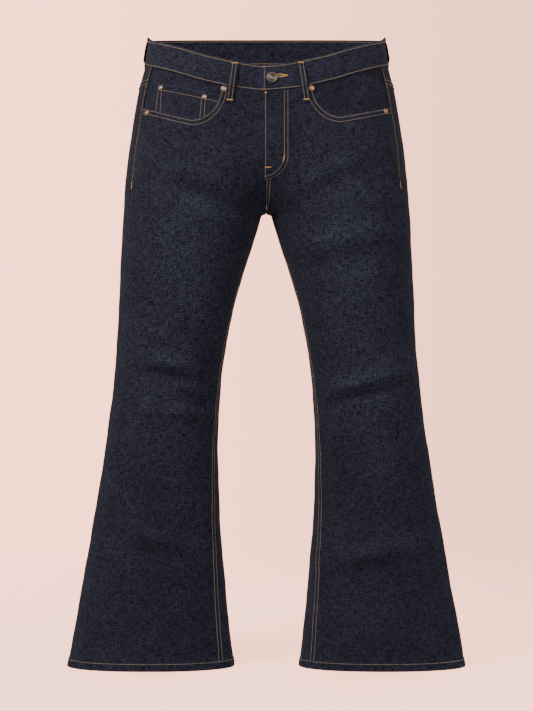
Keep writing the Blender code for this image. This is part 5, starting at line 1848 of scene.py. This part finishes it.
# node, side, across, height, radius, lift of the cloth it sits on
RIVETS = (
    ("rivet_right_inner", Side.RIGHT, 0.0681, 0.9338, 0.0047, 0.0005),
    ("rivet_right_outer", Side.RIGHT, 0.1924, 0.9009, 0.0047, 0.0005),
    ("rivet_left_inner", Side.LEFT, 0.0716, 0.9346, 0.0047, 0.0005),
    ("rivet_left_outer", Side.LEFT, 0.1917, 0.9036, 0.0047, 0.0005),
    ("rivet_coin_outer", Side.RIGHT, 0.1694, 0.9398, 0.0036, -0.0002),
    ("rivet_coin_inner", Side.RIGHT, 0.0985, 0.9211, 0.0036, -0.0002),
)


@dataclass
class Studio:
    """The pale floor and air, the soft lights and the camera."""

    distance: float = 2.77
    eye: float = 0.489
    lens: float = 85.0
    shift: float = 0.0186
    glow: float = 0.47
    paper: Triple = (0.80, 0.66, 0.58)
    # Painted light on the wall behind: a lit shade seen to the left and a darker shade seen to the right.
    backdrop: tuple[Triple, ...] = ((4.6, 2.05, 1.50), (2.75, 1.40, 1.04))
    shine: Triple = (2.9, 1.25, 0.86)

    def floor(self) -> bpy.types.Object:
        """A pale floor that fades into the air well clear of the jeans."""
        corners = [(x, y, -WAIST_HEIGHT - 0.0002) for x, y in ((-4, -4), (4, -4), (4, 4), (-4, 4))]
        mesh = bpy.data.meshes.new("studio_floor")
        mesh.from_pydata(corners, [], [(0, 1, 2, 3)])
        n = Nodes("studio_paper")
        n.constants(Base_Color=(*self.paper, 1), Roughness=0.9, Specular_IOR_Level=0.1)
        n.constants(Emission_Color=(*self.shine, 1), Emission_Strength=1.0)
        place = n.add("ShaderNodeTexCoord").outputs["Object"]
        flat = n.add("ShaderNodeVectorMath", {0: place, 1: (1.0, 1.0, 0.0)}, operation="MULTIPLY").outputs[0]
        away = n.add("ShaderNodeVectorMath", {0: flat}, operation="LENGTH").outputs["Value"]
        clear = n.add("ShaderNodeBsdfTransparent").outputs[0]
        end = next(node for node in n.tree.nodes if node.type == "OUTPUT_MATERIAL")
        mixed = n.add("ShaderNodeMixShader", {0: n.spread(away, 0.45, 1.9), 1: n.shader.outputs[0], 2: clear})
        n.tree.links.new(mixed.outputs[0], end.inputs["Surface"])
        mesh.materials.append(n.material)
        item = bpy.data.objects.new("studio_floor", mesh)
        bpy.context.scene.collection.objects.link(item)
        item.visible_diffuse = item.visible_glossy = False
        return item

    def air(self) -> None:
        """The world: for the camera, a pale wall with painted light, brighter on the left, the key lamp's side, and
        darker on the right; a dimmer colour lights the jeans.
        """
        world = bpy.data.worlds.new("studio_air")
        world.use_nodes = True
        tree = world.node_tree
        lit = tree.nodes["Background"]
        lit.inputs[0].default_value, lit.inputs[1].default_value = (0.93, 0.90, 0.88, 1), self.glow
        seen = tree.nodes.new("ShaderNodeBackground")
        way = tree.nodes.new("ShaderNodeSeparateXYZ")
        tree.links.new(tree.nodes.new("ShaderNodeTexCoord").outputs["Generated"], way.inputs[0])
        ramp = tree.nodes.new("ShaderNodeMapRange")
        tree.links.new(way.outputs[0], ramp.inputs["Value"])
        ramp.inputs[1].default_value, ramp.inputs[2].default_value = -0.14, 0.14
        # Painted light falloff across the wall behind, from lit on the left to shaded on the right.
        backdrop_falloff = tree.nodes.new("ShaderNodeMix")
        backdrop_falloff.data_type = "RGBA"
        tree.links.new(ramp.outputs[0], backdrop_falloff.inputs[0])
        backdrop_falloff.inputs[6].default_value, backdrop_falloff.inputs[7].default_value = [(*shade, 1) for shade in self.backdrop]
        tree.links.new(backdrop_falloff.outputs[2], seen.inputs[0])
        seen.inputs[1].default_value = 1.0
        path = tree.nodes.new("ShaderNodeLightPath")
        mix = tree.nodes.new("ShaderNodeMixShader")
        tree.links.new(path.outputs["Is Camera Ray"], mix.inputs[0])
        tree.links.new(lit.outputs[0], mix.inputs[1])
        tree.links.new(seen.outputs[0], mix.inputs[2])
        tree.links.new(mix.outputs[0], tree.nodes["World Output"].inputs["Surface"])
        bpy.context.scene.world = world

    def lamp(self, name: str, place: Triple, aim: Triple, size: float, power: float, colour: Triple) -> None:
        """A soft square lamp aimed at a point."""
        light = bpy.data.lights.new(name, "AREA")
        light.shape, light.size, light.energy, light.color = "SQUARE", size, power, colour
        item = bpy.data.objects.new(name, light)
        way = Vector(aim) - Vector(place)
        item.location = place
        item.rotation_mode = "QUATERNION"
        item.rotation_quaternion = way.to_track_quat("-Z", "Y")
        bpy.context.scene.collection.objects.link(item)

    def camera(self) -> None:
        """The camera at the photograph's place, level, with its small upward shift."""
        data = bpy.data.cameras.new("camera")
        data.lens, data.sensor_width, data.sensor_height = self.lens, 36.0, 36.0
        data.sensor_fit = "VERTICAL"
        data.shift_y = self.shift
        item = bpy.data.objects.new("camera", data)
        item.location = (0.0, -self.distance, self.eye - WAIST_HEIGHT)
        item.rotation_euler = (math.pi / 2, 0.0, 0.0)
        bpy.context.scene.collection.objects.link(item)
        bpy.context.scene.camera = item

    def build(self) -> None:
        """Sets up the studio."""
        self.camera()
        self.floor()
        self.air()
        self.lamp("key", (-2.3, -2.4, 2.1), (0, 0, -0.4), 1.7, 150, (1.0, 0.98, 0.95))
        self.lamp("fill", (2.6, -2.8, 0.6), (0, 0, -0.5), 2.4, 42, (0.95, 0.97, 1.0))
        self.lamp("back", (0.6, 2.4, 2.6), (0, 0, -0.4), 2.4, 40, (1.0, 0.96, 0.92))


@dataclass
class Jeans:
    """The whole pair, sub-assembly by sub-assembly."""

    denim: bpy.types.Material
    button_metal: bpy.types.Material
    rivet_metal: bpy.types.Material
    sewing: Sewing

    def build(self) -> None:
        """Builds every piece in order."""
        for side in Side:
            for face in Face:
                LegPanel(side, self.denim, self.sewing, face=face).build()
            Yoke(side, self.denim, self.sewing).build()
            PocketFacing(side, self.denim, self.sewing).build()
            BackPocket(side, self.denim, self.sewing).build()
            Hem(side, self.denim, self.sewing).build()
        CoinPocket(Side.RIGHT, self.denim, self.sewing).build()
        Fly(Side.LEFT, self.denim, self.sewing).build()
        Waistband(Side.LEFT, self.denim, self.sewing).build()
        for name, side, face, top, foot in (
            ("belt_loop_front_right", Side.RIGHT, Face.FRONT, 0.0500, 0.0587),
            ("belt_loop_front_left", Side.LEFT, Face.FRONT, 0.0545, 0.0645),
            ("belt_loop_side_right", Side.RIGHT, Face.BACK, 0.1880, 0.1955),
            ("belt_loop_side_left", Side.LEFT, Face.BACK, 0.1880, 0.1955),
            ("belt_loop_back", Side.LEFT, Face.BACK, 0.0, 0.0),
        ):
            BeltLoop(side, self.denim, self.sewing, name=name, face=face, top_across=top, foot_across=foot).build()
        for name, side, across, height, radius, lift in RIVETS:
            points, outwards, _ = Cloth(side).surface(FORM.turn_across(across, height), height, lift)
            profile = cap_profile(radius, 0.0019, RIVET_ROWS)
            TurnedCap(name, "rivet_copper", profile, points, outwards, self.rivet_metal, 36).build()
        height = 0.9508
        lift = 0.0008 + 0.0006 + 0.0026 - 0.0015 + GAP
        points, outwards, _ = Cloth(Side.LEFT).surface(FORM.turn_across(0.0089, height), height, lift)
        profile = cap_profile(0.0084, 0.0042, BUTTON_ROWS)
        TurnedCap("waist_button", "button_metal", profile, points, outwards, self.button_metal).build()
        self.sewing.sew()


def main() -> None:
    """Builds the jeans and the studio round them."""
    logging.basicConfig(level=logging.INFO, format="%(message)s")
    finishes = {colour: colour.value.material() for colour in ThreadColour}
    button = Metal("button_pewter", (0.34, 0.27, 0.24), (0.075, 0.055, 0.048)).material()
    rivet = Metal("rivet_copper", (0.62, 0.36, 0.24), (0.16, 0.075, 0.045), 0.34).material()
    Studio().build()
    Jeans(Denim().material(), button, rivet, Sewing(StitchTree(), finishes)).build()


if __name__ == "__main__":
    main()
